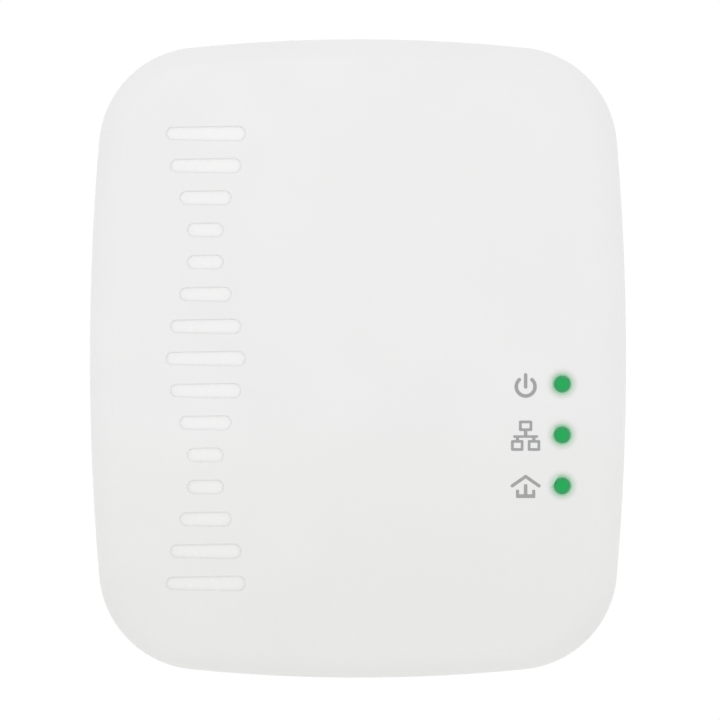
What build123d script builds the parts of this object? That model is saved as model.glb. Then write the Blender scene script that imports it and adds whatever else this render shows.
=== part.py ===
"""Plug-in powerline network adapter, in millimetres.

Frame: the adapter hangs in a wall socket. X is to the right of a person facing it, Y points into the
wall and Z is up. The origin is the centre of the plug's contact face, midway between its two pins.
"""

import os
from math import atan, cos, pi, radians, sin, sqrt, tan

from build123d import *

os.makedirs("parts", exist_ok=True)

# ---- housing: driving dimensions -----------------------------------------------------------------
BODY_WIDTH = 54.6
BODY_HEIGHT = 65.0
BODY_DEPTH = 28.0
SIDE_RADIUS = 261.0  # bow of the left and right edges
END_RADIUS = 168.0  # bow of the top and bottom edges
CORNER_RADIUS = 10.4
WALL = 2.0
DRAFT = 1.5  # degrees, both shells
DOME_RISE = 1.3  # of the front face, from the middle of an end to the centre
FRONT_EDGE_RADIUS = 2.6
BACK_EDGE_RADIUS = 3.5
COVER_DEPTH = 7.2  # from the parting line to the front face's highest point
SEAM = 0.25  # visible gap between the two shells
TONGUE_HEIGHT = 1.4
TONGUE_INSET = 1.05
RIM_THICKNESS = 1.0
BACK_WALL = 2.5
FIT = 0.05  # gap round a piece that slides or slips into another
OVERLAP = 0.5  # how far an added block reaches into the wall it grows from
OVERRUN = 1.0  # how far a cutting block reaches past the surface it opens
SMALL_BEVEL = 0.2
LARGE_BEVEL = 0.35
MOULD_CORNER = 0.5

# ---- plug: EN 50075 two-pole ---------------------------------------------------------------------
SPIGOT_LENGTH = 18.0
PLUG_ABOVE_CENTRE = 6.0  # the plug sits this far above the middle of the housing
PLUG_WIDTH = 35.3
PLUG_HEIGHT = 13.7
PLUG_FLAT = 26.1
PLUG_TIP_HEIGHT = 4.6
PIN_LENGTH = 19.0
PIN_RADIUS = 2.0
PIN_SPACING = 18.6  # at the contact face
PIN_SPACING_AT_TIPS = 17.5
SLEEVE_LENGTH = 10.0
SLEEVE_RADIUS = 1.75  # 1.9 is usual on this plug; kept clear of the pin's own radius
PIN_NECK_RADIUS = 1.35
PIN_TAIL_RADIUS = 1.0
PIN_SHOULDER_RADIUS = 2.3  # of the knurled body inside the plug
PIN_TIP_ROUND = 1.2
PIN_TAIL_PROUD = 1.4  # the tail beyond the power board
SLEEVE_START = -1.0  # distance along the pin, from the contact face
PIN_RECESS_RADIUS = 2.05  # shallow recess round each pin in the contact face
PIN_RECESS_DEPTH = 0.4
PIN_COLUMN_RADIUS = 3.9  # solid plastic round each pin, inside the plug
PLUG_CORNER = 2.0
PLUG_EDGE = 0.8
PLUG_TAPER = 0.6  # degrees
PLUG_HOLLOW = (28.6, 9.0, 2.0)  # width, height and corner radius
PLUG_FACE_WALL = 2.5
BASE_PLATE = (40.0, 20.0, 1.2)  # flange of the plug, let into the back
BASE_PLATE_CORNER = 4.0
PLUG_NECK = (32.8, 11.2, 2.8)  # part that passes through the back wall
PLUG_FIT = 0.2  # opening in the back larger than the plug by this

# ---- depth stations along Y ----------------------------------------------------------------------
BACK_Y = -SPIGOT_LENGTH
FRONT_Y = BACK_Y - BODY_DEPTH
PARTING_Y = FRONT_Y + COVER_DEPTH
BACK_INNER_Y = BACK_Y - BACK_WALL
MAIN_BOARD = 1.2
MAIN_REAR_Y = PARTING_Y
MAIN_FRONT_Y = MAIN_REAR_Y - MAIN_BOARD
POWER_BOARD = 1.6
POST_HEIGHT = 0.7  # of the posts under the power board
POWER_REAR_Y = BACK_INNER_Y - POST_HEIGHT
POWER_FRONT_Y = POWER_REAR_Y - POWER_BOARD

# ---- front face ----------------------------------------------------------------------------------
LIGHT_X = 20.7
LIGHT_MID = -7.75  # height of the middle light above the housing's centre
LIGHT_PITCH = 5.16
LIGHTS = [(LIGHT_X, LIGHT_MID + k * LIGHT_PITCH) for k in (1, 0, -1)]
LIGHT_NAMES = ["power", "network", "powerline"]
LENS_RADIUS = 0.82
LENS_CHAMFER = 0.3
LENS_SUNK = 0.12
LENS_FIT = 0.03
LENS_FLANGE_RADIUS = 1.7
LENS_FLANGE = 0.7
LIGHT_GUIDE_RADIUS = 1.15
LIGHT_GUIDE_END_Y = MAIN_FRONT_Y - 1.1
LED_BASE = (1.25, 2.0, 0.35)
LED_CAP = (1.15, 1.3, 0.45)
LED_CAP_DRAFT = 6.0
SHIELD_WIDTH = 4.8
SHIELD_HEIGHT = 2.3
SHIELD_CORNER = 0.6
SHIELD_CELL = (2.2, 2.8, 0.95)
SHIELD_BORE = 1.3
RELIEF_X = -15.5
RELIEF_HEIGHT = 47.15
RELIEF_BARS = 15
RELIEF_BAR = 1.5
RELIEF_LONG = 8.15
RELIEF_SHORT = 3.55
RELIEF_PERIOD = 7  # bars in one wave
RELIEF_DEPTH = 0.25
RELIEF_DRAFT = 25.0  # degrees, slope of each bar's walls
RELIEF_START = 0.47  # depth below the face at which a bar's cutting block starts
RELIEF_REACH = 0.9  # length of that block

# ---- fasteners -----------------------------------------------------------------------------------
SCREWS = [(x, z) for x in (-18.6, 18.6) for z in (-23.9, 23.9)]
SCREW_SEAT_Y = -34.0
SCREW_SHANK = 1.0
SCREW_HEAD = 2.1
SCREW_HEAD_HEIGHT = 1.6
SCREW_LENGTH = 9.4
SCREW_TIP_CHAMFER = 0.4
SCREW_HEAD_ROUND = 0.5
DRIVE_SLOT = (2.4, 0.5)  # one arm of the cross drive
DRIVE_FLOOR = 0.7
BOSS_RADIUS = 3.5
COVER_BOSS_RADIUS = 3.0
COVER_BOSS = 3.4
PILOT_RADIUS = 1.02
PILOT_DEPTH = 3.6
COUNTERBORE = 2.35
CLEARANCE_HOLE = 1.3

# ---- bottom edge: network jack, pair button, reset hole ------------------------------------------
JACK_MOUTH = -31.9  # height of the jack's face above the housing's centre
JACK_SIZE = (15.9, 13.4, 21.0)  # along X, Y and Z
SHEET = 0.25  # the jack's steel
CAVITY = (11.9, 7.0, 15.0)
LATCH = (6.2, 2.0)
CAVITY_SET_IN = 2.8  # from the jack's back to the cavity's wall, where the contacts stand
SWITCH_X = 11.8
SWITCH_AXIS_Y = MAIN_REAR_Y + 4.2
SWITCH_FACE = -27.6
SWITCH_STEM = 1.55
PRESS = 0.3  # travel of a switch
BUTTON = (6.2, 4.4)
BUTTON_CORNER = 1.2
BUTTON_GAP = 0.08
BUTTON_LENGTH = 3.3
BUTTON_DISH = 10.0  # radius of the finger dish
BUTTON_DISH_DEPTH = 0.8
PINHOLE = 0.9
JACK_FIT = 0.4

# ---- openings and posts of the rear housing, label -----------------------------------------------
VENT = (12.0, 1.4)
VENT_PITCH = 3.0
VENT_Y = -29.6
SIDE_VENTS = 11
SIDE_VENTS_HEIGHT = 2.0  # middle of the side slots above the housing's centre
TOP_VENTS = 9
POSTS = [(-20.0, -6.0), (20.0, -6.0), (-12.6, 26.5), (12.6, 26.5)]
POST_RADIUS = 1.6
LABEL = (32.0, 17.0, 1.5)  # width, height and corner radius
LABEL_HEIGHT = -16.0
LABEL_SHEET = 0.1
LABEL_SEAT = 0.15
LABEL_FIT = 0.1

# ---- inside the network jack ---------------------------------------------------------------------
INSERT_GAP = 0.02
MOUTH_FRAME = 0.4  # the sheet's window is larger than the cavity by this on each side
JACK_CORNER = 0.5
CONTACTS = 8
CONTACT_PITCH = 1.02
CONTACT_WIRE = 0.4
CONTACT_ROOTS = (1.7, 1.1)  # depth of even and odd contacts behind the cavity
CONTACT_BENDS = (3.2, 2.4, 12.0)  # heights above the mouth: lower bend, foot and tip of the spring
CONTACT_TIP = 2.6  # how far a spring's tip stands off the cavity's wall
TAIL_ROWS = (-15.6, -13.4)  # heights of the two rows of contact tails
TAIL_PROUD = 0.6
TAIL_MARGIN = 0.8  # free space round the tails
CHAMBER_WIDTH = 8.4
CHAMBER_DEPTH = 2.2
CHAMBER_FLOOR = 1.6
PEGS = [(-5.7, -22.0), (5.7, -22.0)]
PEG_RADIUS = 0.8
PEG_PROUD = 0.4
FINGER = (3.2, 5.0)  # outer size of a side spring finger's slit
FINGER_TONGUE = (2.4, 4.6)
FINGER_HEIGHT = 4.5

# ---- pair and reset switches ---------------------------------------------------------------------
SWITCH_SIZE = (6.0, 7.0, 3.5)  # along X, Y and Z
SWITCH_BORE = 1.7
STEM_TIP = -28.85
STEM_LENGTH = 2.55
STEM_CHAMFER = 0.25
FRAME_SHEET = 0.3
FRAME_WRAP = 1.3
FRAME_HOLE_FIT = 0.15
FLANGE = (7.0, 5.8, 0.7)
FLANGE_FACE = -29.6
FLANGE_CORNER = 1.0

# ---- main board: parts as (X, height above the centre) and (width, height, thickness) --------------
MAIN_BOARD_INSET = 3.0
PIN_HOLE = 0.5
LINK = (-1.0, 26.3)  # middle of the pin header that joins the two boards
LINK_PINS = 8
LINK_PITCH = 2.0
LINK_PIN = 0.5
LINK_PROUD = 0.7  # the pins beyond the main board
LINK_BODY = (2.0, 2.5)  # height and thickness of the header's body
SOC_AT = (-2.0, 8.0)
SOC = (12.0, 12.0, 1.2)
THERMAL_PAD = (11.0, 11.0, 0.5)
SPREADER = (18.0, 18.0, 1.1)
SPREADER_GROOVE = (16.0, 1.2)
SPREADER_GROOVES = 7
SPREADER_PITCH = 2.4
SPREADER_BASE = 0.5
MEMORY_AT = (-14.5, 10.0)
MEMORY = (7.2, 12.4, 0.9)
MEMORY_LEADS = (7.6, 9)  # spacing of the two rows and leads in a row
FLASH_AT = (12.5, 12.0)
FLASH = (4.0, 5.0, 1.3)
FLASH_LEADS = (4.6, 4)
LEAD = (1.2, 0.45)
LEAD_PITCH = 1.27
LEAD_HEIGHT = 0.5
CHIP_LIFT = 0.15
CRYSTAL_AT = (11.5, 3.0)
CRYSTAL = (3.2, 2.5, 0.8)
SMALL_CAPACITOR = (1.6, 0.8, 0.7)
SMALL_CAPACITOR_GRID = (3.0, 14.4, 4, 2)
SMALL_RESISTOR = (1.6, 0.8, 0.45)
LED_RESISTOR_GAP = 4.6
DRIVER_AT = (0.0, 5.0)
DRIVER = (6.0, 6.0, 0.9)
MAGNETICS_AT = (-13.2, -14.6)
MAGNETICS = (6.0, 11.0, 4.4)
MAGNETICS_LEADS = (6.3, 8)
MAGNETICS_LIFT = 0.3
BUCK_AT = (13.0, -14.8)
BUCK = (5.0, 5.0, 3.0)
BUCK_POCKET = (1.7, 0.4)  # radius and depth

# ---- power board: parts as (X, height above the centre) and (width, height, thickness) -------------
POWER_BOARD_INSET = 3.6
POWER_BOARD_END = -9.5  # height of its lower edge
BOSS_GAP = 0.6
TAIL_HOLE_FIT = 0.2
SOLDER = (2.0, 1.2, 35.0)  # foot radius, height and slope in degrees
TALL = 12.0  # of the highest components
FUSE_AT = (-18.0, 5.3)
FUSE = (4.2, 8.0, 7.6)
LEAD_WIRE = 0.35
LEAD_LENGTH = 1.2
DISC_ROUND = 0.9
VARISTOR_AT = (0.0, 8.4)
VARISTOR_DISC = (4.3, 3.4)  # radius and thickness
SAFETY_AT = (-17.7, 11.6)
SAFETY_DISC = (3.4, 2.8)
CAN_RADIUS = 4.0
CAN_LIFT = 0.2
CAN_ROUND = 0.4
CAN_GROOVE_HEIGHT = 1.9
CAN_SCORE = (0.35, 0.15)  # width and depth of the vent cross
BULK_AT = [(4.6, -5.2), (13.2, -5.2)]
OUTPUT_AT = (-5.0, 17.3)
FILM_AT = (0.0, 1.6)
FILM = (13.0, 5.0, 11.0)
CHOKE_AT = (-14.6, -4.0)
CHOKE_LIFT = 2.0
CHOKE_RING = 3.3
CHOKE_SECTION = 1.2
CHOKE_WIRE = 0.25
CHOKE_TURNS = 6
CHOKE_SPREAD = 100.0  # degrees of the ring under each winding
BRIDGE_AT = (-4.4, -4.6)
BRIDGE = (6.4, 6.0, 2.4)
BRIDGE_LEADS = (6.8, 4.0)
BRIDGE_LEAD = (1.0, 0.9, 1.0)
TRANSFORMER = (6.5, 17.5)
CORE = (13.0, 6.0, 11.0)  # along X, Z and Y
CORE_LIFT = 0.8
CORE_LEG = 1.7
CORE_WINDOW = (3.2, 8.0)
BOBBIN_FIT = 0.1
BOBBIN_TUBE = (4.6, 7.2)
BOBBIN_FLANGE = (9.2, 11.6, 0.8)
BOBBIN_FOOT = (9.2, 1.8)
BOBBIN_FOOT_SPACING = 9.8
WINDING = (8.6, 11.0, 1.5)
DIODE_AT = (-10.8, 22.9)
DIODE = (4.2, 2.6, 2.1)
DIODE_TABS = (5.2, 1.6, 0.9)
CONTROLLER_AT = (17.8, 12.0)
CONTROLLER = (6.4, 9.4, 3.3)
CONTROLLER_LIFT = 0.4
CONTROLLER_LEADS = (6.6, 2.54, 4)
CONTROLLER_LEAD = (0.4, 1.2, 2.0)
FILTER_AT = (17.6, 3.0)
FILTER_RADIUS = 3.0
FILTER_HEIGHT = 8.0
FILTER_POST = 1.8
FILTER_WINDOW = (1.2, 5.6)  # start above the board and height
FILTER_WINDING = 2.7
COUPLER_AT = (-13.0, 16.8)
COUPLER = (6.5, 5.4, 6.0)
SHEET_INSET = 4.2
SHEET_THICKNESS = 0.4
SHEET_GAP = 0.1  # above the highest components
SHEET_FIT = 0.5

DOME_RADIUS = ((BODY_HEIGHT / 2) ** 2 + DOME_RISE**2) / (2 * DOME_RISE)
DOME_CENTRE = (0, FRONT_Y + DOME_RADIUS, -PLUG_ABOVE_CENTRE)
PIN_TILT = atan((PIN_SPACING - PIN_SPACING_AT_TIPS) / 2 / PIN_LENGTH)
PIN_TAIL_END = POWER_FRONT_Y - PIN_TAIL_PROUD
PIN_EMBEDDED_END = BACK_Y + OVERLAP
PIN_CENTRES = [(-PIN_SPACING / 2, 0), (PIN_SPACING / 2, 0)]


def facing_room(y):
    """Plane at depth y, centred on the housing; it extrudes towards the room and its up is Z."""
    return Plane(origin=(0, y, -PLUG_ABOVE_CENTRE), x_dir=(1, 0, 0), z_dir=(0, -1, 0))


def facing_wall(y):
    """Plane at depth y, centred on the housing; it extrudes towards the wall and its up is -Z."""
    return Plane(origin=(0, y, -PLUG_ABOVE_CENTRE), x_dir=(1, 0, 0), z_dir=(0, 1, 0))


def plug_plane(y):
    """Plane at depth y, centred on the plug; it extrudes towards the wall."""
    return Plane(origin=(0, y, 0), x_dir=(1, 0, 0), z_dir=(0, 1, 0))


def above_centre(height):
    """Level plane at a height above the housing's centre."""
    return Plane.XY.offset(height - PLUG_ABOVE_CENTRE)


def dome_y(x, z, depth=0.0):
    """Y of the front face, or of the surface that lies depth below it, over the point (x, z)."""
    radius = DOME_RADIUS - depth
    return FRONT_Y + DOME_RADIUS - sqrt(radius**2 - x**2 - z**2)


def write(sub_part, name):
    """Labels one finished piece and writes its STEP file."""
    sub_part.part.label = name
    export_step(sub_part.part, f"parts/{name}.step")


# ---- housing outline -----------------------------------------------------------------------------
SIDE_CENTRE = Vector(BODY_WIDTH / 2 - SIDE_RADIUS, 0)
END_CENTRE = Vector(0, BODY_HEIGHT / 2 - END_RADIUS)


def corner_centre():
    """Centre of the arc that blends a side arc into an end arc, tangent to both."""
    between = END_CENTRE - SIDE_CENTRE
    to_side = SIDE_RADIUS - CORNER_RADIUS
    to_end = END_RADIUS - CORNER_RADIUS
    along = (to_side**2 - to_end**2 + between.length**2) / (2 * between.length)
    direction = between.normalized()
    across = Vector(-direction.Y, direction.X)
    return SIDE_CENTRE + direction * along + across * sqrt(to_side**2 - along**2)


CORNER_CENTRE = corner_centre()


def body_outline(inset=0.0, mode=Mode.ADD):
    """Adds the housing's outline, moved inwards by inset, to the sketch in hand: eight tangent arcs."""
    to_side = (CORNER_CENTRE - SIDE_CENTRE).normalized()
    to_end = (CORNER_CENTRE - END_CENTRE).normalized()
    side = SIDE_CENTRE + to_side * (SIDE_RADIUS - inset)
    end = END_CENTRE + to_end * (END_RADIUS - inset)
    corner = CORNER_CENTRE + (to_side + to_end).normalized() * (CORNER_RADIUS - inset)
    half_width = BODY_WIDTH / 2 - inset
    half_height = BODY_HEIGHT / 2 - inset
    with BuildLine() as arcs:
        for sx in (1, -1):
            ThreePointArc((sx * side.X, -side.Y), (sx * half_width, 0), (sx * side.X, side.Y))
            ThreePointArc((-end.X, sx * end.Y), (0, sx * half_height), (end.X, sx * end.Y))
            for sy in (1, -1):
                ThreePointArc(
                    (sx * side.X, sy * side.Y),
                    (sx * corner.X, sy * corner.Y),
                    (sx * end.X, sy * end.Y),
                )
    make_face(arcs.edges(), mode=mode)


def rear_block(inset, back_y, edge_radius):
    """The outline drawn back from the parting line with mould draft, its back edge rounded."""
    with BuildPart() as block:
        with BuildSketch(facing_wall(PARTING_Y)):
            body_outline(inset)
        extrude(amount=back_y - PARTING_Y, taper=DRAFT)
        fillet(block.faces().sort_by(Axis.Y)[-1].edges(), edge_radius)
    return block.part


def front_block(inset, edge_radius):
    """The outline drawn forwards from the parting line, domed in front, its front edge rounded."""
    with BuildPart() as block:
        with BuildSketch(facing_room(PARTING_Y)):
            body_outline(inset)
        extrude(amount=COVER_DEPTH + DOME_RISE, taper=DRAFT)
        with Locations(DOME_CENTRE):
            Sphere(DOME_RADIUS - inset, mode=Mode.INTERSECT)
        fillet(block.faces().sort_by(Axis.Y)[0].edges(), edge_radius)
    return block.part


def dome_solid(depth):
    """Ball whose front surface lies depth below the front face."""
    with BuildPart() as ball:
        with Locations(DOME_CENTRE):
            Sphere(DOME_RADIUS - depth)
    return ball.part


def bar_length(index):
    """Length of one bar of the front face's wave relief."""
    wave = (1 + cos(2 * pi * index / RELIEF_PERIOD)) / 2
    return RELIEF_SHORT + (RELIEF_LONG - RELIEF_SHORT) * wave


def relief_bar(index):
    """Cutting block of one bar of the relief: a slot that widens from its floor to the front face."""
    pitch = (RELIEF_HEIGHT - RELIEF_BAR) / (RELIEF_BARS - 1)
    height = (index - (RELIEF_BARS - 1) / 2) * pitch
    narrowing = 2 * RELIEF_START * tan(radians(RELIEF_DRAFT))
    with BuildPart() as bar:
        with BuildSketch(facing_room(dome_y(RELIEF_X, height) + RELIEF_START)):
            with Locations((RELIEF_X, height)):
                SlotOverall(bar_length(index) - narrowing, RELIEF_BAR - narrowing)
        extrude(amount=RELIEF_REACH, taper=-RELIEF_DRAFT)
    return bar.part


def relief_cut():
    """What the front face's relief removes: bars of changing length, as deep as the dome allows."""
    blocks = [relief_bar(k) for k in range(RELIEF_BARS)]
    floor = dome_solid(RELIEF_DEPTH)
    with BuildPart() as bars:
        for block in blocks:
            add(block)
        add(floor, mode=Mode.SUBTRACT)
    return bars.part


REAR_OUTER = rear_block(0, BACK_Y, BACK_EDGE_RADIUS)
REAR_INNER = rear_block(WALL, BACK_INNER_Y, BACK_EDGE_RADIUS - WALL)
FRONT_OUTER = front_block(0, FRONT_EDGE_RADIUS)
FRONT_INNER = front_block(WALL, FRONT_EDGE_RADIUS - WALL)
RELIEF = relief_cut()

# ---- front cover ---------------------------------------------------------------------------------
with BuildPart() as front_cover:
    add(FRONT_OUTER)
    add(FRONT_INNER, mode=Mode.SUBTRACT)
    add(RELIEF, mode=Mode.SUBTRACT)
    with BuildSketch(facing_wall(PARTING_Y - OVERLAP)):
        body_outline(TONGUE_INSET)
        body_outline(WALL, mode=Mode.SUBTRACT)
    extrude(amount=TONGUE_HEIGHT + OVERLAP)
    with BuildSketch(facing_wall(PARTING_Y - SEAM)):
        body_outline(-OVERRUN)
        body_outline(TONGUE_INSET, mode=Mode.SUBTRACT)
    extrude(amount=SEAM, mode=Mode.SUBTRACT)
    with BuildSketch(facing_wall(PARTING_Y)):
        with Locations((0, BODY_HEIGHT / 2)):
            Rectangle(JACK_SIZE[0] + 1, 3 * WALL)
    extrude(amount=TONGUE_HEIGHT, mode=Mode.SUBTRACT)
    with BuildSketch(facing_room(MAIN_FRONT_Y)):
        with Locations(*SCREWS):
            Circle(COVER_BOSS_RADIUS)
    extrude(amount=COVER_BOSS)
    with BuildSketch(facing_room(MAIN_FRONT_Y)):
        with Locations(*SCREWS):
            Circle(PILOT_RADIUS)
    extrude(amount=PILOT_DEPTH, mode=Mode.SUBTRACT)
    with BuildSketch(facing_room(MAIN_FRONT_Y)):
        with Locations(*LIGHTS):
            Circle(LENS_RADIUS + LENS_FIT)
    extrude(amount=COVER_DEPTH, mode=Mode.SUBTRACT)
    for light_x, light_z in LIGHTS:
        rim = facing_wall(dome_y(light_x, light_z) - FIT)
        with BuildSketch(rim):
            with Locations((light_x, -light_z)):
                Circle(LENS_RADIUS + LENS_CHAMFER + FIT)
        extrude(amount=LENS_CHAMFER + FIT, taper=45, mode=Mode.SUBTRACT)
write(front_cover, "front_cover")

# ---- rear housing --------------------------------------------------------------------------------
with BuildPart() as rear_housing:
    add(REAR_OUTER)
    add(REAR_INNER, mode=Mode.SUBTRACT)
    with BuildSketch(facing_wall(PARTING_Y)):
        body_outline(RIM_THICKNESS)
    extrude(amount=TONGUE_HEIGHT + 2 * FIT, mode=Mode.SUBTRACT)
    with BuildSketch(facing_wall(MAIN_REAR_Y)):
        with Locations(*SCREWS):
            Circle(BOSS_RADIUS)
    extrude(amount=BACK_INNER_Y + OVERLAP - MAIN_REAR_Y)
    with BuildSketch(facing_room(BACK_INNER_Y + OVERLAP)):
        with Locations(*POSTS):
            Circle(POST_RADIUS)
    extrude(amount=POST_HEIGHT + OVERLAP)
    with BuildSketch(facing_wall(MAIN_REAR_Y)):
        with Locations(*SCREWS):
            Circle(CLEARANCE_HOLE)
    extrude(amount=SCREW_SEAT_Y - MAIN_REAR_Y, mode=Mode.SUBTRACT)
    with BuildSketch(facing_wall(SCREW_SEAT_Y)):
        with Locations(*SCREWS):
            Circle(COUNTERBORE)
    extrude(amount=BACK_Y + OVERRUN - SCREW_SEAT_Y, mode=Mode.SUBTRACT)
    # seat and opening for the plug insert
    with BuildSketch(plug_plane(BACK_Y - BASE_PLATE[2])):
        RectangleRounded(BASE_PLATE[0] + PLUG_FIT, BASE_PLATE[1] + PLUG_FIT, BASE_PLATE_CORNER)
    extrude(amount=BASE_PLATE[2] + OVERRUN, mode=Mode.SUBTRACT)
    with BuildSketch(plug_plane(BACK_INNER_Y - OVERRUN)):
        RectangleRounded(PLUG_NECK[0] + PLUG_FIT, PLUG_NECK[1] + PLUG_FIT, PLUG_NECK[2])
    extrude(amount=BACK_WALL + 2 * OVERRUN, mode=Mode.SUBTRACT)
    # shallow seat for the rating label
    with BuildSketch(facing_wall(BACK_Y - LABEL_SEAT)):
        with Locations((0, -LABEL_HEIGHT)):
            RectangleRounded(LABEL[0] + 2 * LABEL_FIT, LABEL[1] + 2 * LABEL_FIT, LABEL[2] + LABEL_FIT)
    extrude(amount=OVERRUN, mode=Mode.SUBTRACT)
    # bottom wall: open slot for the jack, apertures for the pair button and the reset tool
    with BuildSketch(above_centre(-BODY_HEIGHT / 2 - OVERRUN)):
        with Locations((0, PARTING_Y + JACK_SIZE[1] / 2)):
            Rectangle(JACK_SIZE[0] + JACK_FIT, JACK_SIZE[1] + JACK_FIT)
        with Locations((-SWITCH_X, SWITCH_AXIS_Y)):
            RectangleRounded(BUTTON[0] + 2 * BUTTON_GAP, BUTTON[1] + 2 * BUTTON_GAP, BUTTON_CORNER)
        with Locations((SWITCH_X, SWITCH_AXIS_Y)):
            Circle(PINHOLE)
    extrude(amount=2 * WALL + OVERRUN, mode=Mode.SUBTRACT)
    # ventilation: slots along both sides and across the top
    with BuildSketch(Plane.YZ.offset(-BODY_WIDTH / 2 - OVERRUN)):
        with Locations((VENT_Y, SIDE_VENTS_HEIGHT - PLUG_ABOVE_CENTRE)):
            with GridLocations(0, VENT_PITCH, 1, SIDE_VENTS):
                SlotOverall(*VENT)
    extrude(amount=BODY_WIDTH + 2 * OVERRUN, mode=Mode.SUBTRACT)
    with BuildSketch(above_centre(BODY_HEIGHT / 2 - 2 * WALL - OVERRUN)):
        with Locations((0, VENT_Y)):
            with GridLocations(VENT_PITCH, 0, TOP_VENTS, 1):
                SlotOverall(*VENT, rotation=90)
    extrude(amount=2 * WALL + 3 * OVERRUN, mode=Mode.SUBTRACT)
write(rear_housing, "rear_housing")


# ---- plug ----------------------------------------------------------------------------------------
def plug_contour():
    """Adds the plug's flattened six-sided contour to the sketch in hand."""
    corners = [
        (PLUG_FLAT / 2, PLUG_HEIGHT / 2),
        (PLUG_WIDTH / 2, PLUG_TIP_HEIGHT / 2),
        (PLUG_WIDTH / 2, -PLUG_TIP_HEIGHT / 2),
        (PLUG_FLAT / 2, -PLUG_HEIGHT / 2),
    ]
    opposite = [(-x, -y) for x, y in corners]
    return Polygon(*corners, *opposite)


def pin_axis(side):
    """Line of one pin, from the contact face outwards; the two pins lean towards each other."""
    return Axis((side * PIN_SPACING / 2, 0, 0), (-side * sin(PIN_TILT), cos(PIN_TILT), 0))


def turned(side, profile, tip_radius=0.0):
    """Solid of revolution round a pin's line; profile lists (distance along, radius) corners."""
    axis = pin_axis(side)
    plane = Plane(origin=axis.position, x_dir=axis.direction, z_dir=(0, 0, 1))
    with BuildPart() as piece:
        with BuildSketch(plane):
            with BuildLine():
                Polyline(*profile, close=True)
            make_face()
        revolve(axis=axis)
        if tip_radius:
            tip = piece.faces().filter_by(GeomType.PLANE).sort_by(Axis.Y)[-1]
            fillet(tip.edges(), tip_radius)
    return piece.part


def mains_pin(side):
    """One brass pin: soldered tail, embedded body, sleeved neck and bare contact end."""
    profile = [
        (PIN_TAIL_END, 0),
        (PIN_TAIL_END, PIN_TAIL_RADIUS),
        (PIN_EMBEDDED_END, PIN_TAIL_RADIUS),
        (PIN_EMBEDDED_END, PIN_SHOULDER_RADIUS),
        (SLEEVE_START, PIN_SHOULDER_RADIUS),
        (SLEEVE_START, PIN_NECK_RADIUS),
        (SLEEVE_LENGTH, PIN_NECK_RADIUS),
        (SLEEVE_LENGTH, PIN_RADIUS),
        (PIN_LENGTH, PIN_RADIUS),
        (PIN_LENGTH, 0),
    ]
    return turned(side, profile, tip_radius=PIN_TIP_ROUND)


def pin_sleeve(side):
    """Insulating sleeve round a pin's neck."""
    profile = [
        (SLEEVE_START, PIN_NECK_RADIUS),
        (SLEEVE_START, SLEEVE_RADIUS),
        (SLEEVE_LENGTH, SLEEVE_RADIUS),
        (SLEEVE_LENGTH, PIN_NECK_RADIUS),
    ]
    return turned(side, profile)


LEFT_PIN, RIGHT_PIN = mains_pin(-1), mains_pin(1)
SLEEVES = [pin_sleeve(-1), pin_sleeve(1)]

with BuildPart() as line_pin:
    add(LEFT_PIN)
write(line_pin, "line_pin")

with BuildPart() as neutral_pin:
    add(RIGHT_PIN)
write(neutral_pin, "neutral_pin")

with BuildPart() as pin_sleeves:
    for sleeve in SLEEVES:
        add(sleeve)
write(pin_sleeves, "pin_sleeves")

with BuildPart() as plug_insert:
    with BuildSketch(plug_plane(BACK_Y)):
        plug_contour()
        fillet(vertices(), PLUG_CORNER)
    extrude(amount=SPIGOT_LENGTH, taper=PLUG_TAPER)
    fillet(plug_insert.faces().sort_by(Axis.Y)[-1].edges(), PLUG_EDGE)
    with BuildSketch(plug_plane(BACK_Y - BASE_PLATE[2])):
        RectangleRounded(BASE_PLATE[0], BASE_PLATE[1], BASE_PLATE_CORNER)
    extrude(amount=BASE_PLATE[2])
    with BuildSketch(plug_plane(BACK_INNER_Y)):
        RectangleRounded(*PLUG_NECK)
    extrude(amount=BACK_WALL)
    with BuildSketch(plug_plane(BACK_INNER_Y)):
        RectangleRounded(*PLUG_HOLLOW)
        with Locations(*PIN_CENTRES):
            Circle(PIN_COLUMN_RADIUS, mode=Mode.SUBTRACT)
    extrude(amount=-PLUG_FACE_WALL - BACK_INNER_Y, mode=Mode.SUBTRACT)
    with BuildSketch(plug_plane(0)):
        with Locations(*PIN_CENTRES):
            Circle(PIN_RECESS_RADIUS)
    extrude(amount=-PIN_RECESS_DEPTH, mode=Mode.SUBTRACT)
    for embedded in (LEFT_PIN, RIGHT_PIN, *SLEEVES):
        add(embedded, mode=Mode.SUBTRACT)
write(plug_insert, "plug_insert")


# ---- screws --------------------------------------------------------------------------------------
with BuildPart() as housing_screws:
    with BuildSketch(facing_room(SCREW_SEAT_Y)):
        with Locations(*SCREWS):
            Circle(SCREW_SHANK)
    extrude(amount=SCREW_LENGTH)
    chamfer(housing_screws.faces().sort_by(Axis.Y)[:4].edges(), SCREW_TIP_CHAMFER)
    with BuildSketch(facing_wall(SCREW_SEAT_Y)):
        with Locations(*SCREWS):
            Circle(SCREW_HEAD)
    extrude(amount=SCREW_HEAD_HEIGHT)
    fillet(housing_screws.faces().sort_by(Axis.Y)[-4:].edges(), SCREW_HEAD_ROUND)
    with BuildSketch(facing_wall(SCREW_SEAT_Y + DRIVE_FLOOR)):
        with Locations(*SCREWS):
            Rectangle(*DRIVE_SLOT)
            Rectangle(*DRIVE_SLOT, rotation=90)
    extrude(amount=SCREW_HEAD_HEIGHT, mode=Mode.SUBTRACT)
write(housing_screws, "housing_screws")

# ---- lights --------------------------------------------------------------------------------------
BEHIND_COVER = dome_solid(WALL + LENS_FIT)

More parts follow.
